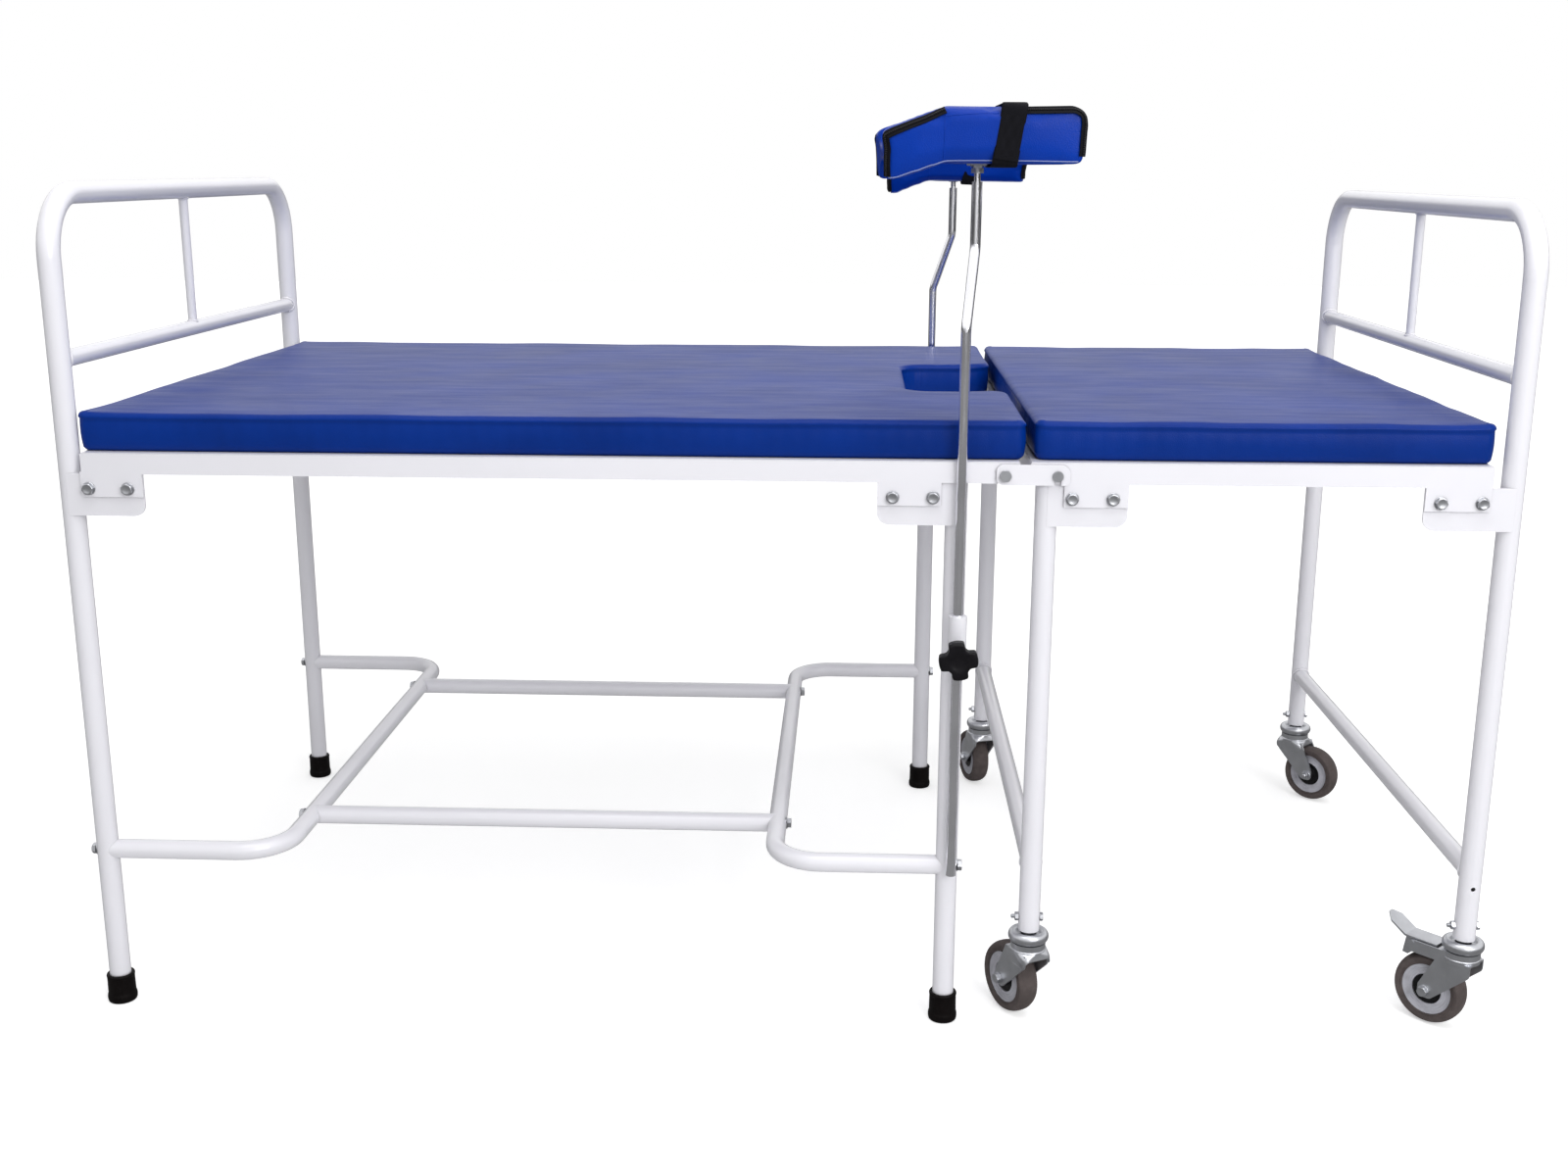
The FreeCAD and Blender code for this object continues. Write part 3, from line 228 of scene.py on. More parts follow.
def turned(profile, columns=64, shape=None):
    """A profile of (radius, height) turned about Z: x = r cos a, y = r sin a, z = h.
    `shape(angle, radius, height)` may change the radius round the turn."""
    profile = np.asarray(profile, float)
    angle = circle(columns)
    radius = np.repeat(profile[:, :1], columns, axis=1)
    height = np.repeat(profile[:, 1:2], columns, axis=1)
    if shape:
        radius = shape(angle[None, :], radius, height)
    return np.stack([radius * np.cos(angle), radius * np.sin(angle), height], axis=-1)


def rounded(profile, radius, steps=5):
    """Replaces each inner corner of an open profile by a quadratic curve that starts and ends
    `radius` from it, or half of the shorter side where that is less."""
    profile = [np.asarray(p, float) for p in profile]
    t = np.linspace(0, 1, steps)[:, None]
    out = [profile[0][None]]
    for before, corner, after in zip(profile, profile[1:], profile[2:]):
        back, ahead = before - corner, after - corner
        reach = min(radius, np.linalg.norm(back) / 2, np.linalg.norm(ahead) / 2)
        a = corner + back / np.linalg.norm(back) * reach
        b = corner + ahead / np.linalg.norm(ahead) * reach
        out.append((1 - t) ** 2 * a + 2 * t * (1 - t) * corner + t ** 2 * b)
    out.append(profile[-1][None])
    return np.concatenate(out)


def carried(path, section, closed=False, up=UP):
    """A section of (side, rise) points carried along a path. Each place of the path has a
    direction, a rise that is `up` less its part along the direction, and a side square to both."""
    path = np.asarray(path, float)
    ahead = np.roll(path, -1, axis=0) - np.roll(path, 1, axis=0)
    if not closed:
        ahead[0] = path[1] - path[0]
        ahead[-1] = path[-1] - path[-2]
    ahead /= np.linalg.norm(ahead, axis=1, keepdims=True)
    up = np.broadcast_to(np.asarray(up, float), path.shape)
    rise = up - ahead * np.sum(up * ahead, axis=1, keepdims=True)
    rise /= np.linalg.norm(rise, axis=1, keepdims=True)
    side = np.cross(ahead, rise)
    section = np.asarray(section, float)
    if section.ndim == 2:
        section = np.broadcast_to(section, (len(path),) + section.shape)
    return path[:, None] + section[..., :1] * side[:, None] + section[..., 1:] * rise[:, None]


def ring(radius, columns):
    """A circle's points as (side, rise)."""
    angle = circle(columns)
    return np.stack([radius * np.cos(angle), radius * np.sin(angle)], axis=1)


def squared(wave, power):
    """A sine or cosine raised to a power, its sign kept, which squares the circle it belongs to."""
    return np.sign(wave) * np.abs(wave) ** power


def flat_band(width, thickness):
    """Section of a flat band with rounded edges: (cos^0.25 a, sin^0.6 a), signs kept."""
    angle = circle(36)
    return np.stack([squared(np.cos(angle), 0.25) * width / 2, squared(np.sin(angle), 0.6) * thickness / 2],
                    axis=1)


def run_length(points):
    """Distance run at each point of a chain."""
    return np.concatenate([[0], np.cumsum(np.linalg.norm(np.diff(points, axis=0), axis=1))])


def along_line(points, spacing):
    """Points spaced evenly along a chain of straight runs."""
    points = np.asarray(points, float)
    run = run_length(points)
    places = np.linspace(0, run[-1], max(int(run[-1] / spacing), 2) + 1)
    return np.stack([np.interp(places, run, points[:, k]) for k in range(3)], axis=1)


# Finishes

def plug(node, inputs):
    """Gives each named input of a node a value, or another node's output."""
    for name, value in inputs.items():
        if isinstance(value, bpy.types.NodeSocket):
            node.id_data.links.new(value, node.inputs[name])
        else:
            node.inputs[name].default_value = value


def add(owner, kind, inputs, output=None, **settings):
    """Adds a node to a material or world, and gives the node or the output that is named."""
    node = owner.node_tree.nodes.new(kind)
    for name, value in settings.items():
        setattr(node, name, value)
    plug(node, inputs)
    return node.outputs[output] if output else node


def calc(owner, operation, *inputs):
    """One step of arithmetic."""
    return add(owner, "ShaderNodeMath", dict(enumerate(inputs)), "Value", operation=operation)


def new_material(name):
    """A node material, its shader and its texture coordinates."""
    material = bpy.data.materials.new(name)
    material.use_nodes = True
    material.node_tree.nodes.clear()
    shader = add(material, "ShaderNodeBsdfPrincipled", {})
    add(material, "ShaderNodeOutputMaterial", {"Surface": shader.outputs["BSDF"]})
    return material, shader, add(material, "ShaderNodeTexCoord", {}).outputs


def noise(material, place, scale, detail=3.0, roughness=0.5, stretch=None):
    """Noise on object coordinates, drawn out along the axes whose `stretch` is small."""
    if stretch:
        place = add(material, "ShaderNodeMapping", {"Vector": place, "Scale": stretch}, "Vector")
    return add(material, "ShaderNodeTexNoise", {"Vector": place, "Scale": scale, "Detail": detail,
                                                "Roughness": roughness}, "Fac")


def between(owner, fac, low, high, start=0.35, end=0.65):
    """A number that goes from low to high while fac goes from start to end."""
    return add(owner, "ShaderNodeMapRange", {"Value": fac, "From Min": start, "From Max": end,
                                             "To Min": low, "To Max": high}, "Result")


def two_colours(material, fac, first, second):
    """A colour between two, by fac."""
    inputs = {"Factor": fac, "A": first, "B": second}
    return add(material, "ShaderNodeMix", inputs, "Result", data_type="RGBA")


def bump(material, height, depth, below=None):
    """Normals of a relief whose full height is `depth` metres, on top of another relief."""
    inputs = {"Strength": 1.0, "Distance": depth, "Height": height}
    if below:
        inputs["Normal"] = below
    return add(material, "ShaderNodeBump", inputs, "Normal")


def shade(colour, share=1.0):
    """A colour made darker or lighter by a share, with its alpha."""
    return (*(min(c * share, 1.0) for c in colour), 1.0)


def grained(name, colour, shares, tone, gloss, rough, relief=None, spread=(0.35, 0.65), uniform=None):
    """A finish from noises on object coordinates. Its colour goes between two shares of `colour` over
    `tone` and its roughness between two values over `gloss`. `relief` is a noise and its depth, and
    `uniform` has the values of the shader's other inputs."""
    material, shader, place = new_material(name)
    at = place["Object"]
    fac = between(material, noise(material, at, *tone), 0, 1, *spread)
    dark, light = (shade(colour, share) for share in shares)
    plug(shader, {"Base Color": two_colours(material, fac, dark, light),
                  "Roughness": between(material, noise(material, at, *gloss), *rough), **(uniform or {})})
    if relief:
        plug(shader, {"Normal": bump(material, noise(material, at, *relief[:-1]), relief[-1])})
    return material, shader, at


def powder_coat(name, colour):
    """White powder coat: faint orange peel, a soft gloss and slight unevenness of tone, with painted shade: an
    ambient occlusion node greys the coat in creases where parts meet within 4 mm."""
    peel = (520, 2, 0.00003)
    material, shader = grained(name, colour, (0.975, 1), (5, 4), (21, 5), (0.29, 0.35), peel,
                               uniform={"Coat Weight": 0.5, "Coat Roughness": 0.08})[:2]
    # Painted shade: ambient occlusion over 4 mm mixes the coat towards a grey in creases and between parts.
    crease_shade = add(material, "ShaderNodeAmbientOcclusion", {"Distance": 0.004}, "AO", samples=4)
    plain_coat = shader.inputs["Base Color"].links[0].from_socket
    painted_crease_shade = between(material, crease_shade, 0.6, 0, 0.35, 0.8)
    grey = shade(bpy.context.scene.bed_colours.crease_shade)
    plug(shader, {"Base Color": two_colours(material, painted_crease_shade, plain_coat, grey)})
    return material


def vinyl(name, colour):
    """Upholstery vinyl: fine leather grain, a drawn-out wiping sheen and slightly uneven gloss."""
    wiped = (44, 6, 0.6, (0.2, 1, 1))
    material, shader, at = grained(name, colour, (0.86, 1.08), (6, 5, 0.6), wiped, (0.31, 0.41),
                                   uniform={"Specular IOR Level": 0.11, "Specular Tint": (1, 0.93, 0.98, 1)})
    cells = add(material, "ShaderNodeTexVoronoi", {"Vector": at, "Scale": 700}, "Distance")
    waves = noise(material, at, 24, 3, 0.45, (0.5, 1, 1))
    plug(shader, {"Normal": bump(material, waves, 0.00025, bump(material, cells, 0.00012))})
    return material


def chrome(name, colour):
    """Polished chrome with faint drawing marks along the rod."""
    marks = (260, 4, 0.5, (1, 1, 0.05))
    return grained(name, colour, (0.93, 1), (20, 3), marks, (0.1, 0.22), (*marks, 0.00003),
                   uniform={"Metallic": 1.0})[0]


def zinc(name, colour):
    """Bright zinc plating on pressed steel: a cloudy tone and a soft, slightly uneven gloss."""
    return grained(name, colour, (0.85, 1), (45, 5, 0.55), (60, 3, 0.5, (1, 0.4, 1)), (0.30, 0.38),
                   (60, 2, 0.00001), (0.3, 0.7), {"Metallic": 0.95})[0]


def rubber(name, colour, grain, depth, dull):
    """Moulded rubber: a dusty tone, fine pores and little gloss."""
    return grained(name, colour, (1, 1.5), (45, 6, 0.6), (120, 4), (dull - 0.08, dull + 0.08),
                   (grain, 3, depth), (0.4, 0.75), {"Specular IOR Level": 0.08})[0]


def moulded(name, colour, gloss):
    """Moulded plastic with a slight spark-eroded texture."""
    return grained(name, colour, (0.9, 1.1), (70, 3), (260, 4), (gloss - 0.06, gloss + 0.08),
                   (900, 2, 0.00008), uniform={"Specular IOR Level": 0.12})[0]


def woven(name, colour, thread):
    """Webbing on its own UV map in metres: warp and weft as two crossed waves."""
    material, shader, place = new_material(name)
    split = add(material, "ShaderNodeSeparateXYZ", {"Vector": place["UV"]}).outputs
    warp, weft = (calc(material, "SINE", calc(material, "MULTIPLY", split[axis], math.pi / thread))
                  for axis in ("X", "Y"))
    weave = between(material, calc(material, "MULTIPLY", warp, weft), 0, 1, -1, 1)
    plug(shader, {"Base Color": two_colours(material, weave, shade(colour, 0.85), shade(colour, 1.25)),
                  "Roughness": 0.62, "Specular IOR Level": 0.05, "Sheen Weight": 0.02,
                  "Normal": bump(material, weave, 0.00008)})
    return material


MAKERS = {
    "paint": (powder_coat, "frame_powder_coat", "paint"),
    "vinyl": (vinyl, "blue_vinyl", "vinyl"),
    # Painted highlight: the crutch cushions take a lighter copy of the blue vinyl, for the brightness of their
    # glossy tops.
    "cushion": (vinyl, "cushion_vinyl", "cushion"),
    "lining": (vinyl, "vinyl_piping", "piping"),
    "chrome": (chrome, "crutch_chrome", "chrome"),
    "zinc": (zinc, "zinc_plate", "zinc"),
    "ferrule": (rubber, "ferrule_rubber", "rubber", 700, 0.0002, 0.52),
    "tyre": (rubber, "tyre_rubber", "tyre", 420, 0.00025, 0.6),
    "rim": (moulded, "wheel_rim_plastic", "rim", 0.42),
    "wheel_dark": (moulded, "wheel_centre_plastic", "wheel_centre", 0.4),
    "knob": (moulded, "knob_plastic", "knob", 0.34),
    "webbing": (woven, "strap_webbing", "webbing", 0.0011),
    "zip_tape": (woven, "zip_tape", "webbing", 0.0007),
    "zip_teeth": (moulded, "zip_teeth", "knob", 0.3),
}
SLOTS = {"paint": "frame_paint", "ferrule": "ferrule_rubber", "vinyl": "upholstery", "chrome": "chrome",
         "zinc": "zinc", "tyre": "tyre_rubber", "wheel_dark": "wheel_plastic", "knob": "knob_plastic",
         "webbing": "webbing"}
OF_SLOT = {slot: name for name, slot in SLOTS.items()}
SLOTS.update({"cushion": "upholstery", "lining": "upholstery", "rim": "wheel_plastic", "zip_tape": "webbing"})
MADE = {}


def finish(name):
    """A finish of the object, made once from its colour in the panel."""
    if name not in MADE:
        maker, title, colour, *values = MAKERS[name]
        MADE[name] = maker(title, getattr(bpy.context.scene.bed_colours, colour), *values)
    return MADE[name]


def colour_of(name, description, *rgb):
    """A colour in the panel."""
    return FloatVectorProperty(name=name, description=description, subtype="COLOR", default=rgb,
                               min=0, max=1)


def length(name, description, metres, least=0.0):
    """A length in the panel."""
    return FloatProperty(name=name, description=description, default=metres, min=least, unit="LENGTH")


def amount(name, description, value, unit="NONE"):
    """A strength, angle or other number in the panel."""
    return FloatProperty(name=name, description=description, default=value, unit=unit)


class BedColours(bpy.types.PropertyGroup):
    """Colours of the bed's finishes."""

    paint: colour_of("Powder coat", "White paint of the tubes and frames", 0.76, 0.755, 0.80)
    # Grey of the painted shade that the ambient occlusion puts into the powder coat's creases.
    crease_shade: colour_of("Creases", "Grey of the creases between painted parts", 0.20, 0.19, 0.19)
    vinyl: colour_of("Vinyl", "Blue cover of the mattresses", 0.0003, 0.024, 0.200)
    # Painted highlight: a lighter copy of the mattress blue, so the whole cushion carries the brightness of the
    # highlights on its glossy top.
    cushion: colour_of("Cushion vinyl", "Blue cover of the knee crutches", 0.0002, 0.031, 0.30)
    piping: colour_of("Piping", "Pale welt along the crutch cushions", 0.20, 0.24, 0.45)
    chrome: colour_of("Chrome", "Crutch rods", 0.88, 0.88, 0.92)
    zinc: colour_of("Zinc", "Castor forks, bolts and brackets", 0.54, 0.55, 0.58)
    rubber: colour_of("Ferrule rubber", "Feet of the head section", 0.0035, 0.0025, 0.0025)
    tyre: colour_of("Tyre", "Castor tyres", 0.075, 0.062, 0.060)
    rim: colour_of("Rim", "Pale ring of a castor wheel", 0.40, 0.40, 0.44)
    wheel_centre: colour_of("Wheel centre", "Dark middle of a castor wheel", 0.009, 0.009, 0.010)
    knob: colour_of("Knob", "Clamp knobs and zip teeth", 0.006, 0.0055, 0.007)
    webbing: colour_of("Webbing", "Straps and zip tape", 0.005, 0.005, 0.007)


class PaddingSizes(bpy.types.PropertyGroup):
    """How the mattresses and crutch cushions are stuffed."""

    longer: length("Longer", "How far the head mattress bulges past its solid's ends", 0.006)
    edge_round: length("Edge", "Radius of a mattress's upper edge", 0.0085, 0.002)
    corner_round: length("Corner", "Radius of a mattress's corners in plan", 0.014, 0.013)
    cutout_deep: length("Cut-out depth", "Depth of the seat cut-out", 0.134, 0.05)
    cutout_half: length("Cut-out half width", "Half of the cut-out's width", 0.155, 0.05)
    seat_round: length("Cut-out corner", "Radius of the cut-out's inner corners", 0.036, 0.01)
    mouth_round: length("Mouth", "Radius of the corners at the cut-out's mouth", 0.034, 0.014)
    crown: length("Crown", "Rise of a mattress's middle over its edge", 0.001)
    cushion_voxel: length("Cushion grid", "Size of the even quads of a cushion", 0.0045, 0.002)
    shrink: length("Drawn in", "How far a cushion starts inside its solid, over 0.8", 0.003)
    cushion_swell: length("Cushion swell", "The most that a cushion may swell", 0.005)
    wave: length("Edge wave", "Rise and fall of a mattress's upper edge", 0.0007)
    frames: IntProperty(name="Cloth frames", description="Steps of the cloth simulation",
                        default=16, min=2, max=40)


class HardwareSizes(bpy.types.PropertyGroup):
    """Sizes of the bolts, washers and welds."""

    bolt_across: length("Bolt head", "Across the flats of a bracket bolt", 0.013)
    bolt_head: length("Head height", "Height of a bracket bolt's head", 0.0053)
    nut: length("Nut height", "Height of a bracket bolt's nut", 0.0065)
    washer: length("Washer", "Diameter of a plain washer", 0.0165)
    washer_thick: length("Washer thickness", "Thickness of a plain washer", 0.0014)
    lug_bolt_z: length("Bracket bolt height", "Height of the bracket bolts", 0.7147)
    lug_bolt_first: length("First bolt", "Leg's axis to the first bolt", 0.030)
    foot_bolt_first: length("First bolt at the foot", "The same at the foot legs", 0.041)
    lug_bolt_pitch: length("Bolt pitch", "Between a bracket's two bolts", 0.050)
    weld: length("Weld bead", "Radius of a weld bead", 0.0022)


# Hardware shapes

def hex_head(across, height, bore=0.0):
    """A hexagon with a slight dish on top. Its radius is r = a / cos(angle folded into a sixth), cut
    at the upper end by a cone of 30 degrees."""
    apothem = across / 2

    def shape(angle, radius, z):
        flats = apothem / np.cos((angle + np.pi / 6) % (np.pi / 3) - np.pi / 6)
        cone = apothem * 0.96 + (height - z) * math.tan(math.radians(60))
        return np.where(radius > apothem * 0.97, np.minimum(flats, cone), radius)

    levels = [(across, height * share) for share in (0, 0.35, 0.7, 0.8, 0.88, 0.95, 1)]
    top = [(across * 0.46, height), (across * 0.36, height * 0.985), (across * 0.3, height * 0.93)]
    if bore:
        top = top[:2] + [(bore / 2 + 0.0004, height * 0.97), (bore / 2, height * 0.9)]
    return turned(levels + top, 48, shape)


def washer(across, thickness, bore):
    """A plain washer: a flat ring whose edges are broken by a quarter of its thickness."""
    r, t, e = across / 2, thickness, thickness / 4
    return turned([(bore / 2, 0), (r - e, 0), (r, e), (r, t - e), (r - e, t), (bore / 2, t)], 40)


def thread_end(diameter, tall, pitch=0.00125):
    """A bolt's threaded end: radius r - d |sin(pi z / pitch)|, with a pointed run-out."""
    z = np.linspace(0, tall, int(tall / pitch * 6) + 2)
    r = diameter / 2 - 0.0005 * np.abs(np.sin(np.pi * z / pitch))
    r[-3:] -= np.array([0.0003, 0.0007, 0.0012])
    return turned(np.stack([r, z], axis=1), 20)


def bolt_set(head_at, out, grip, across=None, thread=0.008, end=0.004, washers=True):
    """A hexagon bolt through a stack: a head with its washer on one side, a nut and thread on
    the other, `grip` apart. `head_at` is where the head's washer bears and `out` points away."""
    sizes = bpy.context.scene.bed_hardware
    across = across or sizes.bolt_across
    scale = across / sizes.bolt_across
    out = np.asarray(out, float)
    thick = sizes.washer_thick * scale if washers else 0.0
    spin = 0.35 + 7.1 * float(np.sum(np.abs(head_at)))
    up = (math.sin(spin), 0.3, math.cos(spin))
    back = head_at - out * grip
    disc = washer(sizes.washer * scale, thick, thread)
    parts = [(disc, head_at, out), (hex_head(across, sizes.bolt_head * scale), head_at + out * thick, out),
             (disc, back, -out), (hex_head(across, sizes.nut * scale, thread), back - out * thick, -out),
             (thread_end(thread, sizes.nut * scale + thick + end), back, -out)]
    return [surface(set_at(points, at, way, up), along=points is disc, caps=(points is not disc,) * 2)
            for points, at, way in parts if washers or points is not disc]


def cupped_head(at, out, tube):
    """A bolt head on a saddle washer that wraps round a tube: the washer's faces follow the tube by
    nine tenths, z = -0.9 (R - sqrt(R^2 - s^2)), s its offset across the tube."""
    sizes = bpy.context.scene.bed_hardware
    hug, bore = 0.9, 0.008
    saddle = washer(sizes.washer, sizes.washer_thick, bore)
    saddle[..., 2] -= (tube - np.sqrt(tube ** 2 - saddle[..., 0] ** 2)) * hug
    spin = 0.4 + 5.3 * abs(float(at[0])) + 2.1 * float(at[1])
    seat = at + np.asarray(out, float) * sizes.washer_thick * hug
    up = (0, math.sin(spin), math.cos(spin))
    head = set_at(hex_head(sizes.bolt_across, sizes.bolt_head), seat, out, up)
    return [surface(set_at(saddle, at, out), along=True), surface(head, caps=CAPPED)]


def weld_bead(start, axis, radius, into_radius, into_axis, bead, ripples=46):
    """A fillet round a tube's end on another tube. The path is the saddle curve
    p = radius (cos a, sin a) with depth R - sqrt(R^2 - s^2), s its offset across the other tube;
    the bead's radius ripples as 1 + 0.09 sin(n a)."""
    axis, into_axis = np.asarray(axis, float), np.asarray(into_axis, float)
    across = np.cross(axis, into_axis)
    angle = circle(144)
    offset = radius * np.sin(angle)
    depth = into_radius - np.sqrt(into_radius ** 2 - offset ** 2)
    grow = 1 + bead * 0.25 / radius
    path = (np.asarray(start, float) + np.outer(radius * grow * np.cos(angle), into_axis)
            + np.outer(offset * grow, across) + np.outer(bead * 0.25 - depth, axis))
    swollen = bead * (1 + 0.09 * np.sin(ripples * angle) + 0.05 * np.sin(7 * angle + 1.0))
    outward = np.outer(np.cos(angle), into_axis) + np.outer(np.sin(angle), across)
    return surface(carried(path, ring(1.0, 10)[None] * swollen[:, None, None], True, outward), along=True)


# Padding

def solid_copy(node, voxel, inset):
    """A CAD solid's surface in even quads: its doubles merged, remeshed on a voxel grid,
    rounded by smoothing and drawn in by `inset` along its normals."""
    mesh = NODES[node].data.copy()
    mended(mesh, 0.00002, outwards=False)
    item = bpy.data.objects.new(node + "_pad", mesh)
    bpy.context.scene.collection.objects.link(item)
    remesh = item.modifiers.new("even", "REMESH")
    remesh.mode = "VOXEL"
    remesh.voxel_size = voxel
    smooth = item.modifiers.new("soft", "SMOOTH")
    smooth.factor = 0.5
    smooth.iterations = 7
    bake(item)
    normals = read_points(item.data, "normal")
    set_points(item.data, read_points(item.data) - normals * inset)
    return item


def bake(item):
    """Applies an object's modifiers to its mesh."""
    bpy.context.view_layer.update()
    graph = bpy.context.evaluated_depsgraph_get()
    mesh = bpy.data.meshes.new_from_object(item.evaluated_get(graph), depsgraph=graph)
    item.modifiers.clear()
    item.data = mesh


def read_points(mesh, kind="co"):
    """Places or normals of a mesh's vertices."""
    points = np.empty(len(mesh.vertices) * 3)
    mesh.vertices.foreach_get(kind, points)
    return points.reshape(-1, 3)


def set_points(mesh, points):
    """Moves a mesh's vertices."""
    mesh.vertices.foreach_set("co", np.ascontiguousarray(points, float).ravel())
    mesh.update()


def swell(item, cap, frames):
    """Blows a pad up as cloth with pressure and no gravity; no point moves further than `cap`."""
    rest = read_points(item.data)
    cloth = item.modifiers.new("stuffing", "CLOTH")
    settings = cloth.settings
    settings.quality = 4
    settings.use_pressure = True
    settings.uniform_pressure_force = 4.0
    settings.effector_weights.gravity = 0.0
    settings.tension_stiffness = 20.0
    settings.compression_stiffness = 20.0
    settings.bending_stiffness = 1.5
    cloth.collision_settings.use_collision = False
    cloth.point_cache.frame_start = 1
    cloth.point_cache.frame_end = frames
    scene = bpy.context.scene
    for step in range(1, frames + 1):
        scene.frame_set(step)
    bake(item)
    moved = read_points(item.data) - rest
    far = np.linalg.norm(moved, axis=1, keepdims=True)
    set_points(item.data, rest + moved * np.minimum(1.0, cap / np.maximum(far, 1e-9)))
    scene.frame_set(1)


def finish_pad(item, name, node, body, cover):
    """Names a pad, gives it its cover and lets it stand for its CAD node."""
    item.name = name
    item.data.name = name
    item.data.materials.clear()
    dress(item, (cover,), body, node, 80)


def plan_outline(plan, radii):
    """A closed plan of straight runs and arcs. Gives its points, outward normals, run length,
    and at each point whether it belongs to a hollow corner, a straight run or a rounded corner
    (-1, 0 or 1)."""
    spacing, steps = 0.006, 22
    corner = [np.asarray(place, float) for place in plan]
    arcs = []
    for k, radius in enumerate(radii):
        back = corner[k - 1] - corner[k]
        ahead = corner[(k + 1) % len(plan)] - corner[k]
        back, ahead = back / np.linalg.norm(back), ahead / np.linalg.norm(ahead)
        turn = float(-back[0] * ahead[1] + back[1] * ahead[0])
        arcs.append((radius, corner[k] + back * radius, corner[k] + ahead * radius,
                     corner[k] + (back + ahead) * radius, 1 if turn > 0 else -1))
    points, normals, bends = [], [], []
    for (radius, first, last, centre, way), following in zip(arcs, arcs[1:] + arcs[:1]):
        a = np.arctan2(*(first - centre)[::-1])
        b = np.arctan2(*(last - centre)[::-1])
        angle = np.linspace(a, a + (b - a + np.pi) % (2 * np.pi) - np.pi, steps)
        arm = np.stack([np.cos(angle), np.sin(angle)], axis=1)
        straight = following[1] - last
        number = max(int(np.linalg.norm(straight) / spacing), 2)
        direction = straight / np.linalg.norm(straight)
        points += [centre + arm * radius, last + straight * np.linspace(0, 1, number + 1)[1:-1, None]]
        normals += [arm * way, np.repeat([[direction[1], -direction[0]]], number - 1, axis=0)]
        bends += [np.full(steps, way), np.zeros(number - 1)]
    points = np.concatenate(points)
    return points, np.concatenate(normals), run_length(points), np.concatenate(bends)


def filled(border, height, spacing=0.022):
    """Points and triangles that fill a closed border: a lattice inside it, joined to the border
    by constrained Delaunay triangles. `height` gives z from x and y."""
    low, high = border.min(axis=0), border.max(axis=0)
    x, y = np.meshgrid(np.arange(low[0] + spacing, high[0], spacing),
                       np.arange(low[1] + spacing, high[1], spacing), indexing="ij")
    lattice = np.stack([x.ravel(), y.ravel()], axis=1)
    gap = np.min(np.linalg.norm(lattice[:, None, :] - border[None, ::3, :], axis=2), axis=1)
    everything = np.concatenate([border, lattice[gap > spacing * 0.6]])
    count = len(border)
    edges = [(i, (i + 1) % count) for i in range(count)]
    found = delaunay_2d_cdt([Vector(point) for point in everything], edges, [list(range(count))], 1, 1e-7)
    flat = np.array([tuple(point) for point in found[0]])
    return np.column_stack([flat, height(flat[:, 0], flat[:, 1])]), np.array(found[2])


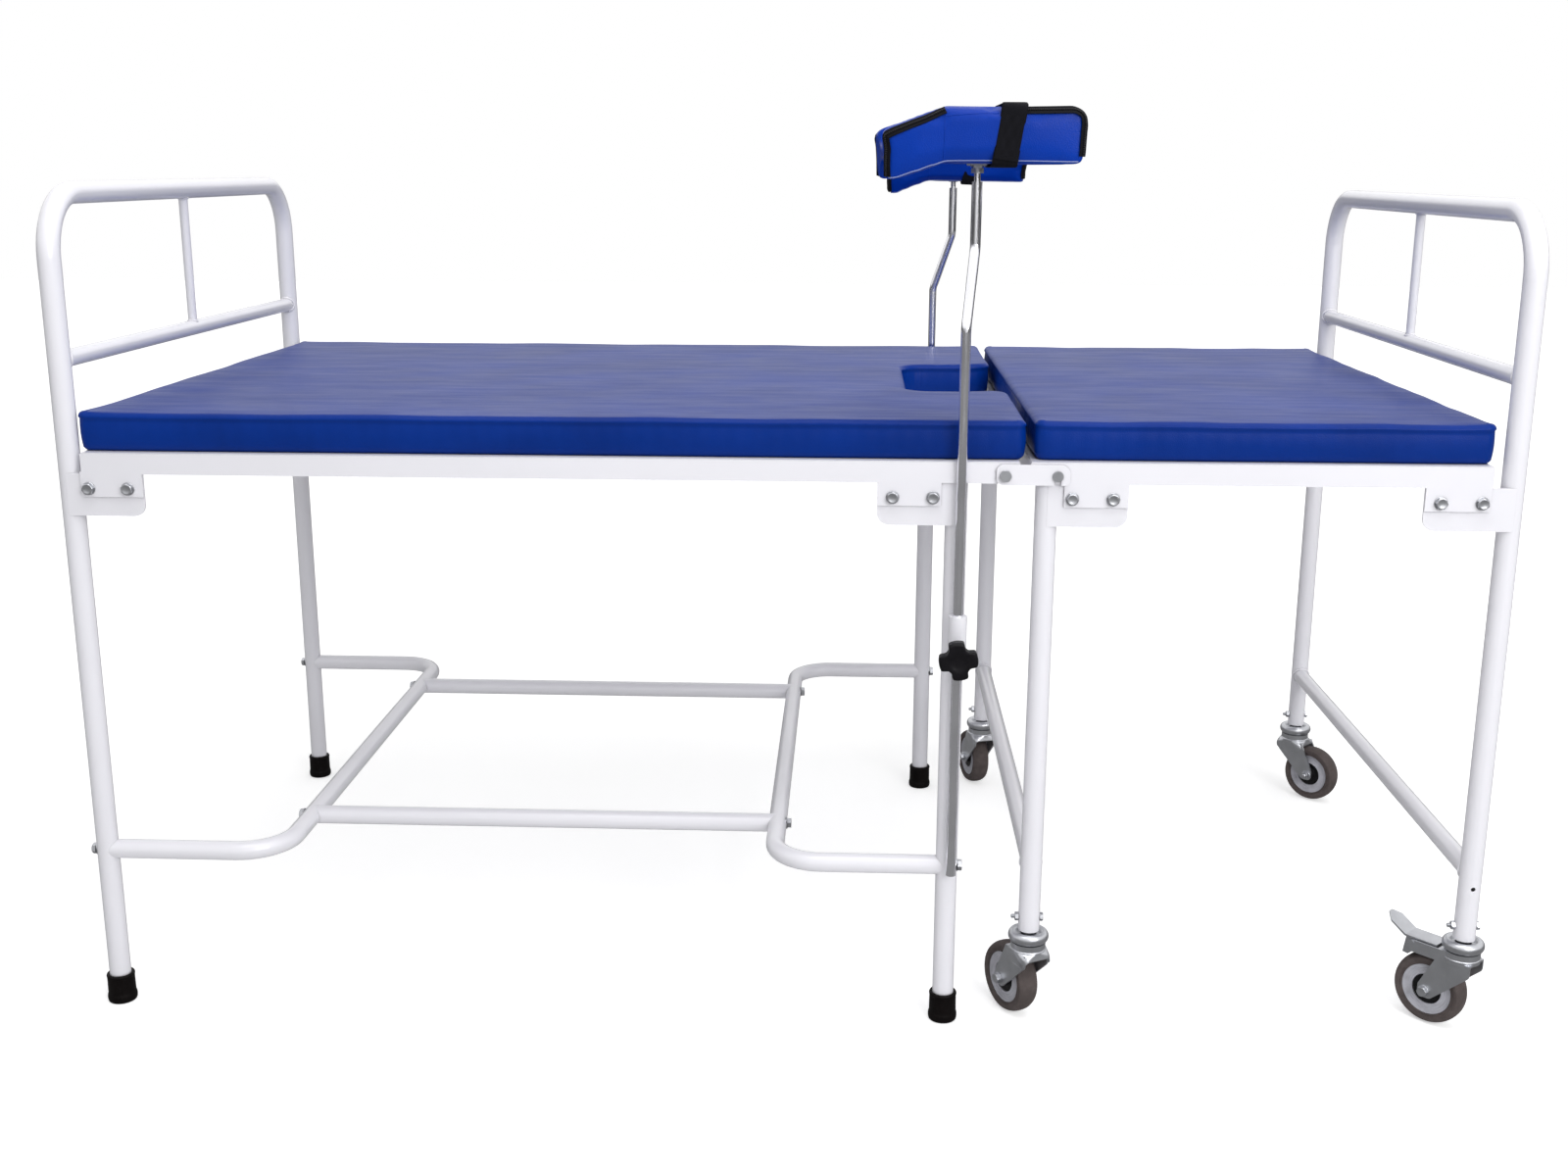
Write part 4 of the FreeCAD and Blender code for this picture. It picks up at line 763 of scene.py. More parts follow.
def mattress(name, node, body, plan, radii, phase):
    """A foam slab under tight vinyl. Its side is a profile of (inset, rise) carried round the plan:
    tucked under at the bottom, bulging as 1 - sin(pi t), and rounded over on a quarter circle.
    The upper edge rises and falls as a sum of sines of the run length, the outer corners are pulled
    up, and the hollow corners of the cut-out gather in pleats, sin(2 pi run / 9 mm)."""
    sizes = bpy.context.scene.bed_padding
    low, high = corners(node)
    top = high[2] - 0.0012
    tall = top - low[2]
    points, normals, run, bend = plan_outline(plan, radii)
    turn = 2 * np.pi * run / (run[-1] + np.linalg.norm(points[0] - points[-1]))
    window = np.hanning(21) / np.hanning(21).sum()
    soft = np.convolve(np.concatenate([bend[-20:], bend, bend[:20]]), window, "same")[20:-20]
    ear, hollow = np.clip(soft, 0, 1), np.clip(-soft, 0, 1)
    over, skin, tuck = sizes.edge_round, 0.0006, 0.0045
    t = np.linspace(0, 1, 9)
    arc = np.linspace(0, np.pi / 2, 8)[1:]
    bulge = 0.0026 * (1 - np.sin(np.pi * (0.12 + 0.76 * t)))
    inset = np.concatenate([[0.020, 0.0065, 0.0042], bulge + skin, skin + over * (1 - np.cos(arc)),
                            [over + tuck]])[:, None]
    rise = np.concatenate([[0.0002, 0.0002, 0.0022], tuck + (tall - over - tuck) * t,
                           tall - over * (1 - np.sin(arc)), [tall + 0.0003]])[:, None]
    level = np.clip(rise / tall, 0, 1)
    share = level ** 3
    wave = sizes.wave * (0.55 * np.sin(13 * turn + phase) + 0.3 * np.sin(23 * turn + 2 * phase)
                         + 0.15 * np.sin(41 * turn + 3 * phase) - 0.5)
    pleat = 0.0006 * np.sin(2 * np.pi * run / 0.009) * hollow
    pucker = 0.0004 * np.sin(2 * np.pi * run / 0.023 + phase) * (1 - hollow)
    depth = (inset - (0.0010 * ear + wave * 0.35) * share + (pleat + pucker) * np.sin(np.pi * level)
             + 0.0016 * ear * (1 - share) * (inset < 0.01))
    height = low[2] + rise + share * (wave + 0.0012 * ear)
    side = np.concatenate([points[None] - normals[None] * depth[..., None], height[..., None]], axis=-1)
    centre, half = (low[:2] + high[:2]) / 2, (high[:2] - low[:2]) / 2

    def upper(x, y):
        """Height of the lid: a crown cos(pi u / 2) cos(pi v / 2) with shallow dips."""
        far = np.clip(np.stack([(x - centre[0]) / half[0], (y - centre[1]) / half[1]]), -1, 1)
        dips = 0.0002 * np.sin(17 * x + phase) * np.sin(13 * y) + 0.0001 * np.sin(31 * x - 19 * y)
        return top + 0.0003 + (sizes.crown + dips) * np.prod(np.cos(np.pi / 2 * far), axis=0)

    lid, lid_faces = filled(side[-1, :, :2], upper)
    rows, count = side.shape[:2]
    lid[:count, 2] = side[-1, :, 2]
    sole, sole_faces = filled(side[0, :, :2], lambda x, y: np.full_like(x, low[2] + 0.0002), 0.2)
    flat = side.reshape(-1, 3)
    faces = (grid_quads(rows, count)[0].tolist() + (lid_faces + len(flat)).tolist()
             + (sole_faces + len(flat) + len(lid)).tolist())
    mesh = bpy.data.meshes.new(name)
    mesh.from_pydata(np.concatenate([flat, lid, sole]).tolist(), [], faces)
    mended(mesh, 0.00001)
    finish_pad(bpy.data.objects.new(name, mesh), name, node, body, "vinyl")


# Pieces

class BED_OT_frame_finishes(bpy.types.Operator):
    """Gives every CAD node its finish"""

    bl_idname = "bed.frame_finishes"
    bl_label = "Finishes of the frame"

    def execute(self, context):
        slots = {part["node"]: part["material_slot"] for part in frame["record"]["subparts"]}
        for name, item in NODES.items():
            for slot in item.material_slots:
                slot.material = finish(OF_SLOT[slots[name]])
        return {"FINISHED"}


class BED_OT_mattresses(bpy.types.Operator):
    """Makes the two mattresses"""

    bl_idname = "bed.mattresses"
    bl_label = "Mattresses"

    def execute(self, context):
        sizes = context.scene.bed_padding
        corner, mouth = sizes.corner_round, sizes.cutout_half
        low, high = corners("head_mattress")
        back = high[0] - sizes.cutout_deep
        low[0] -= sizes.longer
        high[0] += sizes.longer
        plan = [(low[0], low[1]), (high[0], low[1]), (high[0], -mouth), (back, -mouth),
                (back, mouth), (high[0], mouth), (high[0], high[1]), (low[0], high[1])]
        radii = [corner, corner, sizes.mouth_round, sizes.seat_round]
        mattress("head_mattress_cover", "head_mattress", "head_section", plan, radii + radii[::-1], 0.9)
        low, high = corners("foot_mattress")
        plan = [(low[0], low[1]), (high[0], low[1]), (high[0], high[1]), (low[0], high[1])]
        mattress("foot_mattress_cover", "foot_mattress", "foot_section", plan, [corner] * 4, 2.6)
        return {"FINISHED"}


class BED_OT_bracket_bolts(bpy.types.Operator):
    """Bolts the corner brackets to the frames' webs"""

    bl_idname = "bed.bracket_bolts"
    bl_label = "Bracket bolts"

    def execute(self, context):
        sizes = context.scene.bed_hardware
        grip, usual = 0.006, sizes.lug_bolt_first
        brackets = {"head_section": (("head", 1, usual), ("middle", -1, usual)),
                    "foot_section": (("inner", 1, usual), ("foot", -1, sizes.foot_bolt_first))}
        for body, legs in brackets.items():
            surfaces = []
            for (leg, way, first), sign, step in product(legs, SIDES.values(), (0, 1)):
                x = LEG_X[leg] + way * (first + step * sizes.lug_bolt_pitch)
                surfaces += bolt_set(np.array([x, sign * WEB_Y, sizes.lug_bolt_z]), (0, sign, 0), grip)
            piece(body + "_bracket_bolts", surfaces, ("zinc",), body)
        return {"FINISHED"}


class BED_OT_brace_bolts(bpy.types.Operator):
    """Bolts the U-shaped braces and stretchers together"""

    bl_idname = "bed.brace_bolts"
    bl_label = "Brace bolts"

    def execute(self, context):
        low, high = corners("stretchers")
        brace_radius, sunk = float(high[2] - low[2]) / 2, 0.0004
        ends = (("head", -1, low[0]), ("middle", 1, high[0]))
        surfaces = []
        for sign, (leg, way, cross) in product(SIDES.values(), ends):
            for x, y, tube in ((LEG_X[leg], LEG_Y, LEG_RADIUS), (cross, STRETCHER_Y, brace_radius)):
                at = np.array([x + way * (tube - sunk), sign * y, BRACE_Z])
                surfaces += cupped_head(at, (way, 0, 0), tube)
        piece("brace_bolts", surfaces, ("zinc",), "head_section")
        return {"FINISHED"}


class BED_OT_welds(bpy.types.Operator):
    """Lays the weld beads of the hoops and low tubes"""

    bl_idname = "bed.welds"
    bl_label = "Welds"

    def execute(self, context):
        bead = context.scene.bed_hardware.weld
        small = (bead * 0.7, 30)
        groups = {
            "head_section": (("head_crossbar", "head_spindle", "head"),),
            "foot_section": (("foot_crossbar", "foot_spindle", "foot"), ("foot_low_tube", None, "foot"),
                             ("inner_low_tube", None, "inner")),
        }
        for body, rows in groups.items():
            surfaces = []
            for bar, spindle, leg in rows:
                radius, height, x = float(extent(bar)[0]) / 2, float(middle(bar)[2]), LEG_X[leg]
                for sign in (-1, 1):
                    at = (x, sign * (LEG_Y - LEG_RADIUS), height)
                    surfaces.append(weld_bead(at, (0, -sign, 0), radius, LEG_RADIUS, UP, bead))
                if spindle:
                    rod = float(extent(spindle)[0]) / 2
                    top = float(corners(leg + "_hoop")[1][2]) - 2 * LEG_RADIUS
                    surfaces.append(weld_bead((x, 0, height + radius), UP, rod, radius, (0, 1, 0), *small))
                    surfaces.append(weld_bead((x, 0, top), (0, 0, -1), rod, LEG_RADIUS, (0, 1, 0), *small))
            piece(body + "_welds", surfaces, ("paint",), body, sharp=60)
        return {"FINISHED"}


class BED_OT_ferrules(bpy.types.Operator):
    """Makes the rubber feet of the head section"""

    bl_idname = "bed.ferrules"
    bl_label = "Ferrules"

    def execute(self, context):
        high = corners("leg_ferrules")[1]
        wide = float(high[1]) - LEG_Y
        tall = float(high[2])
        neck, bore = wide - 0.0012, LEG_RADIUS + 0.0002
        outline = rounded([(0, 0.0010), (wide * 0.62, 0.0010), (wide * 0.68, 0), (wide - 0.001, 0),
                           (wide, 0.004), (wide, 0.009), (neck, 0.0125), (neck - 0.0002, tall - 0.005),
                           (neck + 0.0006, tall - 0.003), (neck - 0.0004, tall), (bore, tall),
                           (bore, tall - 0.006)], 0.002)
        cup = turned(outline, 72)
        surfaces = [surface(cup + np.array([LEG_X[leg], sign * LEG_Y, 0]), caps=(False, True))
                    for leg, sign in product(("head", "middle"), SIDES.values())]
        piece("ferrules", surfaces, ("ferrule",), "head_section", "leg_ferrules", sharp=50)
        return {"FINISHED"}


class BED_OT_castor_wheels(bpy.types.Operator):
    """Makes the tyres and wheel centres of the castors"""

    bl_idname = "bed.castor_wheels"
    bl_label = "Castor wheels"

    def execute(self, context):
        for corner in CASTORS:
            at, axis = joint_at("wheel_%s_roll" % corner)
            tyre(corner, at, axis, float(at[2]))
            wheel_centre(corner, at, axis)
        return {"FINISHED"}


def tyre(corner, at, axis, radius):
    """A crowned tyre: across it the tread falls as (x / half)^2.6 and the shoulders round off
    into sidewalls with a shallow groove at the rim."""
    half, fall = 0.014, 0.0042
    x = np.linspace(-half, half, 41)
    tread = radius - fall * (np.abs(x) / half) ** 2.6
    side = [(0.0416, half + 0.0003), (0.0385, half - 0.0002), (0.0372, half - 0.0010),
            (0.0360, half - 0.0004), (0.0348, half - 0.0012), (0.0345, half - 0.0022)]
    left = [(r, -y) for r, y in side[::-1]]
    profile = left + list(zip(tread, x)) + side + [(0.0343, 0.0)]
    piece("tyre_" + corner, [surface(set_at(turned(profile, 112), at, axis), along=True)],
          ("tyre",), "wheel_" + corner, "castor_tyre_" + corner, sharp=45)


def wheel_centre(corner, at, axis):
    """Two-part centre: a pale dished ring with four fine ridges, h = 0.35 mm |sin(pi r / 3.3 mm)|,
    and a dark dished cover with a hub."""
    rim_half, outer, inner = 0.0125, 0.0338, 0.0206
    r = np.linspace(outer, inner, 45)
    dish = rim_half - 0.0012 - 0.0018 * np.sin(np.pi * (outer - r) / (outer - inner))
    dish += 0.00035 * np.abs(np.sin(np.pi * (r - inner) / 0.0033))
    rim = [(0.0346, 0.001), (0.0346, rim_half - 0.0022), (0.0342, rim_half - 0.0008), *zip(r, dish),
           (0.0203, 0.004), (0.0203, 0.001)]
    cover = [(0.0202, 0.0), (0.0202, 0.0095), (0.0190, 0.0108), (0.0150, 0.0100), (0.0118, 0.0100),
             (0.0112, 0.0155), (0.0100, 0.0160), (0.0043, 0.0160), (0.0043, 0.0)]
    surfaces = []
    for way in (-1, 1):
        for material, (outline, columns) in enumerate(((rim, 96), (rounded(cover, 0.0008), 72))):
            points = set_at(turned(np.array(outline) * (1, way), columns), at, axis)
            surfaces.append(surface(points, along=True, material=material))
    piece("wheel_centre_" + corner, surfaces, ("rim", "wheel_dark"), "wheel_" + corner,
          "castor_wheel_" + corner)


def fork_hood(corner, leg, ahead):
    """The pressed top of a fork: with t from 0 under the race to 1 at the lower edge, its plan is
    |x / a|^p + |y / b|^p = 1, p = 2 + 6 t, a = 24.5 + 1.5 t mm, b = 24.5 - 3 t mm, and the edge
    hangs lower at the legs, by 10.5 mm sin^2. The sheet is 1.2 mm thick and its edge is round."""
    angle = circle(96)[None]
    t = np.linspace(0, 1, 14)[:, None]
    power = 2 / (2 + 6 * t)
    half, sheet, top, throat = 0.0245, 0.0012, 0.1062, [0.75, 0.75, 0]

    def shell(inside):
        """The hood's outer face, moved in by `inside`."""
        x = squared(np.cos(angle), power) * (half + 0.0015 * t - inside)
        y = squared(np.sin(angle), power) * (half - 0.0030 * t - inside)
        drop = 0.0085 + 0.0105 * np.sin(angle) ** 2
        return np.stack([x, y, top - inside - drop * t ** 0.8], axis=-1)

    outer, inner = shell(0.0), shell(sheet)
    lip = (outer[-1:] + inner[-1:]) / 2 - [0, 0, 0.0005]
    points = np.concatenate([outer[:1] * throat + [0, 0, top + 0.0004], outer, lip, inner[::-1],
                             outer[:1] * throat + [0, 0, top - sheet]])
    turn = np.array([[ahead[0], -ahead[1], 0], [ahead[1], ahead[0], 0], [0, 0, 1]])
    piece("fork_hood_" + corner, [surface(points @ turn.T + [leg[0], leg[1], 0], along=True)], ("zinc",),
          "castor_" + corner, sharp=50)


class BED_OT_castor_hardware(bpy.types.Operator):
    """Adds the axle nuts, cross bolts, swivel races and pressed hoods of the castors"""

    bl_idname = "bed.castor_hardware"
    bl_label = "Castor hardware"

    def execute(self, context):
        fork_half, cross_z, race_z = 0.0191, 0.150, 0.1003
        a = np.linspace(-0.5 * np.pi, 0.82 * np.pi, 22)
        dome = zip(0.0205 + 0.0062 * np.cos(a), 0.0235 + 0.0075 * np.sin(a))
        cap = turned([(0.0105, 0.0165), (0.0180, 0.0165), *dome, (0.0147, 0.0275), (0.0143, 0.0262),
                      (0.0105, 0.0262)], 72)
        race = turned(rounded([(0.0170, 0.0040), (0.0226, 0.0040), (0.0240, 0.0052), (0.0240, 0.0066),
                               (0.0226, 0.0078), (0.0170, 0.0078)], 0.0006), 64)
        stems = []
        for corner in CASTORS:
            body = "castor_" + corner
            at, axis = joint_at("wheel_%s_roll" % corner)
            leg = joint_at(body + "_swivel")[0]
            axle = bolt_set(at + axis * fork_half, axis, 2 * fork_half, across=0.0125, thread=0.0081,
                            end=0.0025)
            piece("axle_bolt_" + corner, axle, ("zinc",), body)
            stems += bolt_set(np.array([leg[0] + LEG_RADIUS, leg[1], cross_z]), (1, 0, 0), 2 * LEG_RADIUS,
                              across=0.010, thread=0.006, end=0.005, washers=False)
            low = np.array([leg[0], leg[1], race_z])
            stems.append(surface(cap + low, along=True))
            piece("swivel_race_" + corner, [surface(race + low, along=True)], ("zinc",), body)
            if corner != BRAKED:
                ahead = (at - leg)[:2]
                fork_hood(corner, leg, ahead / np.linalg.norm(ahead))
        piece("castor_stem_hardware", stems, ("zinc",), "foot_section", "castor_stems")
        return {"FINISHED"}


class BED_OT_clamp_knobs(bpy.types.Operator):
    """Makes the four-lobed clamp knobs"""

    bl_idname = "bed.clamp_knobs"
    bl_label = "Clamp knobs"

    def execute(self, context):
        for side, sign in SIDES.items():
            at = joint_at("knob_%s_turn" % side)[0]
            at[1] = sign * float(np.max(np.abs(np.array(corners("clamp_knob_" + side))[:, 1])))
            knob(side, at, (0, sign, 0))
        return {"FINISHED"}


def knob(side, at, out):
    """Four broad lobes with a notch between them: r = 24.5 mm (1 - 0.3 q^2 (3 - 2 q)), where
    q = (0.1 - cos 4a) / 1.1 kept to 0..1. The front is domed, r shrinks by a quarter circle over its
    last 4 mm, and a neck and screw run back to the socket."""
    thick, wide, hub = 0.017, 0.0245, 0.0100

    def lobes(angle, radius, height):
        """The lobes' radius at the rim, easing to a plain circle at the hub."""
        q = np.clip((0.1 - np.cos(4 * (angle - math.radians(8)))) / 1.1, 0, 1)
        ease = np.clip((radius - hub) / (wide - hub), 0, 1)
        return radius * (1 - ease) + radius * (1 - 0.3 * q ** 2 * (3 - 2 * q)) * ease

    a = np.linspace(0, np.pi / 2, 9)
    front = zip(0.0205 + 0.0040 * np.cos(a), -0.004 + 0.004 * np.sin(a))
    back = zip(0.0215 + 0.0030 * np.sin(a), -thick + 0.003 - 0.003 * np.cos(a))
    neck = [(hub, -thick - 0.0048), (hub, -thick - 0.0005), (0.0112, -thick)]
    dish = [(0.0160, 0.0), (0.0110, -0.0002), (0.0092, -0.0010), (0.0040, -0.0012)]
    body = turned([*neck, *back, (wide, -0.012), (wide, -0.008), *front, *dish], 128, lobes)
    out = np.asarray(out, float)
    screw = set_at(thread_end(0.0079, 0.012), at - out * (thick + 0.0045), -out)
    piece("clamp_knob_piece_" + side, [surface(set_at(body, at, out), caps=CAPPED),
                                       surface(screw, caps=CAPPED, material=1)],
          ("knob", "zinc"), "knob_" + side, "clamp_knob_" + side, sharp=50)


# Knee crutches. PAD holds a cushion's outline in its head's own axes: the long part ends at right,
# the gutter bends at bend, and the drooping end at left is drawn out further than the solid.

PAD = SimpleNamespace(left=-0.104, right=0.124, bend=-0.044, droop=0.016, low=-0.0045, top=0.0635,
                      end_top=0.031, wide=0.112, shift=0.014, longer=0.010, slant=0.008, taller=0.24)
FAR_ROLL = math.radians(18)


def crutch_frame(side):
    """Where a crutch head's own axes lie: its tilt bolt and the turn about X."""
    roll = FAR_ROLL if side == "far" else 0.0
    turn = np.array([[1, 0, 0], [0, math.cos(roll), -math.sin(roll)], [0, math.sin(roll), math.cos(roll)]])
    return joint_at("crutch_%s_tilt" % side)[0], turn


def on_crutch(side, points):
    """Carries points from a crutch head's own axes to the bed. With s from 0 at the bend to 1 at the
    drooping end, x -= s (longer + slant (1/2 + y / wide)) and z grows by taller s about the middle."""
    at, turn = crutch_frame(side)
    x, y, z = np.moveaxis(np.asarray(points, float), -1, 0)
    s = np.clip((PAD.bend - x) / (PAD.bend - PAD.left), 0, 1.1)
    across = np.clip((y - SIDES[side] * PAD.shift) / PAD.wide + 0.5, 0, 1)
    core = (PAD.top + PAD.low) / 2 + s * ((PAD.end_top + PAD.low - PAD.droop - PAD.top - PAD.low) / 2)
    x = x - s * (PAD.longer + PAD.slant * across)
    z = core + (z - core) * (1 + PAD.taller * s)
    return np.stack([x, y, z], axis=-1) @ turn.T + at


def hugged(side, chain, y, spacing, item, off):
    """A chain of (x, z) at `y` on a crutch head, spaced evenly and moved onto the pad's mesh, `off`
    above its nearest place, then smoothed once."""
    chain = on_crutch(side, [(x, y, z) for x, z in chain])
    out = []
    for point in along_line(chain, spacing):
        found, place, normal, face = item.closest_point_on_mesh(point)
        out.append(np.array(place) + np.array(normal) * off)
    out = np.array(out)
    smooth = out.copy()
    smooth[1:-1] = (out[:-2] + 2 * out[1:-1] + out[2:]) / 4
    return smooth


class BED_OT_crutch_cushions(bpy.types.Operator):
    """Makes the padded gutters of the knee crutches with their zips and welts"""

    bl_idname = "bed.crutch_cushions"
    bl_label = "Crutch cushions"

    def execute(self, context):
        for side in SIDES:
            cushion(side)
        return {"FINISHED"}


def cushion(side):
    """A stuffed gutter with zips round its outer face and a welt along its lower edges."""
    sizes = bpy.context.scene.bed_padding
    node = "crutch_cushion_" + side
    item = solid_copy(node, sizes.cushion_voxel, sizes.shrink * 0.8)
    at, turn = crutch_frame(side)
    set_points(item.data, on_crutch(side, (read_points(item.data) - at) @ turn))
    swell(item, sizes.cushion_swell, sizes.frames)
    item.modifiers.new("smooth", "SUBSURF").levels = 1
    bake(item)
    finish_pad(item, "cushion_" + side, node, "crutch_" + side, "cushion")
    out = SIDES[side]
    for face, name in ((out, "outer"), (-out, "inner")):
        y = out * PAD.shift + face * PAD.wide / 2
        zips(side, name, item, y, face)
        welt(side, name, item, y)


def zips(side, name, item, y, face):
    """Two zips of tape and teeth: one up the drooping end and along its top, one along the top
    of the long part and down the end. The inner face shows only their ends."""
    edge = 0.0035
    first = [(PAD.left + edge, PAD.low - PAD.droop + 0.006), (PAD.left - 0.003 + edge, PAD.end_top - 0.006),
             (PAD.left + 0.006, PAD.end_top - 0.003), (PAD.bend, PAD.top - edge)]
    second = [(0.049, PAD.top - edge), (PAD.right - 0.020, PAD.top - edge),
              (PAD.right - 0.008, PAD.top - 0.008), (PAD.right - edge, PAD.top - 0.020),
              (PAD.right - 0.007, PAD.low + 0.010)]
    if name == "inner":
        first, second = first[:3], second[3:]
    core = on_crutch(side, [[0.01, y - face * 0.04, 0.025]])[0]
    outwards = (0.35, 1, 1)
    surfaces = []
    for chain in (first, second):
        path = hugged(side, chain, y, 0.0025, item, 0.0004)
        tape = carried(path, flat_band(0.011, 0.0014), up=(path - core) * outwards)
        fine = along_line(path, 0.0006)
        lift = fine + 0.0009 * (fine - core) / np.linalg.norm(fine - core, axis=1, keepdims=True)
        tooth = 0.0011 + 0.0006 * np.abs(np.sin(np.arange(len(fine)) * np.pi / 4))
        teeth = carried(lift, ring(1.0, 8)[None] * tooth[:, None, None], up=(lift - core) * outwards)
        surfaces += [surface(tape, caps=CAPPED, stretch=(run_length(path)[-1], 0.025)),
                     surface(teeth, caps=CAPPED, material=1)]
    piece("zip_%s_%s" % (side, name), surfaces, ("zip_tape", "zip_teeth"), "crutch_" + side, sharp=50)


def welt(side, name, item, y):
    """A thin pale welt along a face's lower edge, and the seams at the bend and along the top."""
    chains = (
        [(PAD.left + 0.004, PAD.low - PAD.droop + 0.001), (PAD.bend, PAD.low + 0.001),
         (PAD.right - 0.012, PAD.low + 0.001)],
        [(PAD.bend, PAD.top - 0.013), (-0.010, PAD.top - 0.010), (0.018, PAD.top - 0.008)],
        [(PAD.bend, PAD.low + 0.004), (PAD.bend + 0.001, PAD.top - 0.006)],
    )
    surfaces = []
    for seam, chain in zip((0, 1, 1), chains):
        path = hugged(side, chain, y, 0.003, item, -0.0002 if seam else 0.0002)
        surfaces.append(surface(carried(path, ring(0.0008, 10)), caps=CAPPED, material=seam))
    piece("welt_%s_%s" % (side, name), surfaces, ("lining", "cushion"), "crutch_" + side, sharp=60)


class BED_OT_crutch_straps(bpy.types.Operator):
    """Makes the webbing straps round the crutch cushions"""

    bl_idname = "bed.crutch_straps"
    bl_label = "Crutch straps"

    def execute(self, context):
        for side, out in SIDES.items():
            strap(side, out)
        return {"FINISHED"}


def strap(side, out):
    """A band round the cushion: a rounded rectangle |y|^14 + |z|^14 = 1 about the cushion's
    middle, leaning towards the foot end as it rises, with the overlap of its closing end."""
    clear, x, lean, tape, lap = 0.0013, 0.031, 0.0055, 0.0019, 0.0017
    half_y, half_z = PAD.wide / 2 + clear, (PAD.top - PAD.low) / 2 + clear
    centre = np.array([x, out * PAD.shift, (PAD.top + PAD.low) / 2])
    a = circle(192)
    y, z = squared(np.cos(a), 1 / 7), squared(np.sin(a), 1 / 7)
    path = on_crutch(side, centre + np.stack([lean * z, half_y * y, half_z * z], axis=1))
    outward = (path - on_crutch(side, [centre])[0]) * (0, 1, 1)
    surfaces = [surface(carried(path, flat_band(0.030, tape), True, outward), along=True,
                        stretch=(run_length(path)[-1], 0.064))]
    part = (a > 0.52 * np.pi) & (a < 1.06 * np.pi) if out < 0 else (a < 0.48 * np.pi)
    over = path[part] + lap * outward[part] / np.linalg.norm(outward[part], axis=1, keepdims=True)
    surfaces.append(surface(carried(over, flat_band(0.028, 0.0016), up=outward[part]), caps=CAPPED,
                            stretch=(0.09, 0.06)))
    piece("strap_" + side, surfaces, ("webbing",), "crutch_" + side, "crutch_strap_" + side, sharp=60)


class BED_OT_crutch_hardware(bpy.types.Operator):
    """Adds the tilt bolts' heads and nuts"""

    bl_idname = "bed.crutch_hardware"
    bl_label = "Crutch hardware"

    def execute(self, context):
        for side in SIDES:
            reach = float(extent("swivel_bracket_" + side)[0]) / 2 - 0.0015
            head = bolt_set(crutch_frame(side)[0] + [reach, 0, 0], (1, 0, 0), 2 * reach, across=0.0082,
                            thread=0.0055, end=0.001, washers=False)
            piece("tilt_bolt_" + side, head, ("zinc",), "swivel_" + side)
        return {"FINISHED"}


# Studio

class StudioSettings(bpy.types.PropertyGroup):
    """Floor, lamps and camera."""

    floor: colour_of("Floor", "Colour of the floor", 0.80, 0.80, 0.80)
    glow: amount("Floor glow", "How white the floor looks before its light is added", 0.5)
    far_glow: amount("Far glow", "The same, away from the bed", 0.75)
    key: amount("Key lamp", "Strength of the large lamp above", 62.0, "POWER")
    fill: amount("Fill lamp", "Strength of the lamp at the front", 70.0, "POWER")
    sky: amount("Surround", "Strength of the white surround", 0.54)
    reflected: amount("Reflected", "Strength of the surround in glossy surfaces", 1.2)
    flags: amount("Flags", "The same, low down at the sides", 0.05)
    floor_reflected: amount("Floor reflected", "How bright glossy surfaces see the floor", 0.26)
    lens: amount("Lens", "Focal length", 38.86, "CAMERA")
    camera_at: FloatVectorProperty(name="Camera", description="Place of the camera", subtype="XYZ",
                                   default=(0.0683, -2.5184, 1.1125), unit="LENGTH")
    pitch: amount("Pitch", "Camera's look downwards", math.radians(14.024), "ROTATION")
    yaw: amount("Yaw", "Camera's turn towards the foot end", math.radians(-2.394), "ROTATION")
    roll: amount("Roll", "Camera's lean", math.radians(0.17), "ROTATION")


def area_lamp(name, at, aim, size, power):
    """A rectangular area lamp that faces a point."""
    lamp = bpy.data.lights.new(name, "AREA")
    lamp.shape = "RECTANGLE"
    lamp.size, lamp.size_y = size
    lamp.energy = power
    item = bpy.data.objects.new(name, lamp)
    bpy.context.scene.collection.objects.link(item)
    toward = np.asarray(at, float) - np.asarray(aim, float)
    item.matrix_world = Matrix.Translation(at) @ Matrix(basis(toward).tolist()).to_4x4()


class BED_OT_studio(bpy.types.Operator):
    """Sets up the floor, white surround, lamps and camera"""

    bl_idname = "bed.studio"
    bl_label = "Studio"

    def execute(self, context):
        studio = context.scene.bed_studio
        scene = context.scene
        scene.view_settings.view_transform = "Standard"
        reach = np.linspace(-14, 14, 57)
        x, y = np.meshgrid(reach, reach, indexing="ij")
        points = np.stack([x, y, np.full_like(x, -0.0006)], axis=-1).reshape(-1, 3)
        floor = bpy.data.meshes.new("floor")
        floor.from_pydata(points.tolist(), [], grid_quads(57, 57, around=False)[0].tolist())
        floor.materials.append(floor_finish(studio))
        item = bpy.data.objects.new("floor", floor)
        scene.collection.objects.link(item)
        surround(scene, studio)
        area_lamp("key_lamp", (0.3, -1.0, 3.4), (0.0, 0.0, 0.5), (3.2, 2.4), studio.key)
        area_lamp("front_lamp", (1.9, -3.4, 2.1), (0.1, 0.0, 0.6), (2.0, 1.6), studio.fill)
        camera = bpy.data.cameras.new("camera")
        camera.lens = studio.lens
        camera.sensor_width = 36
        camera.sensor_fit = "HORIZONTAL"
        eye = bpy.data.objects.new("camera", camera)
        scene.collection.objects.link(eye)
        level = math.cos(studio.pitch)
        behind = (-math.sin(studio.yaw) * level, -math.cos(studio.yaw) * level, math.sin(studio.pitch))
        look = Matrix(basis(behind).tolist()).to_4x4() @ Matrix.Rotation(studio.roll, 4, "Z")
        eye.matrix_world = Matrix.Translation(studio.camera_at) @ look
        scene.camera = eye
        return {"FINISHED"}


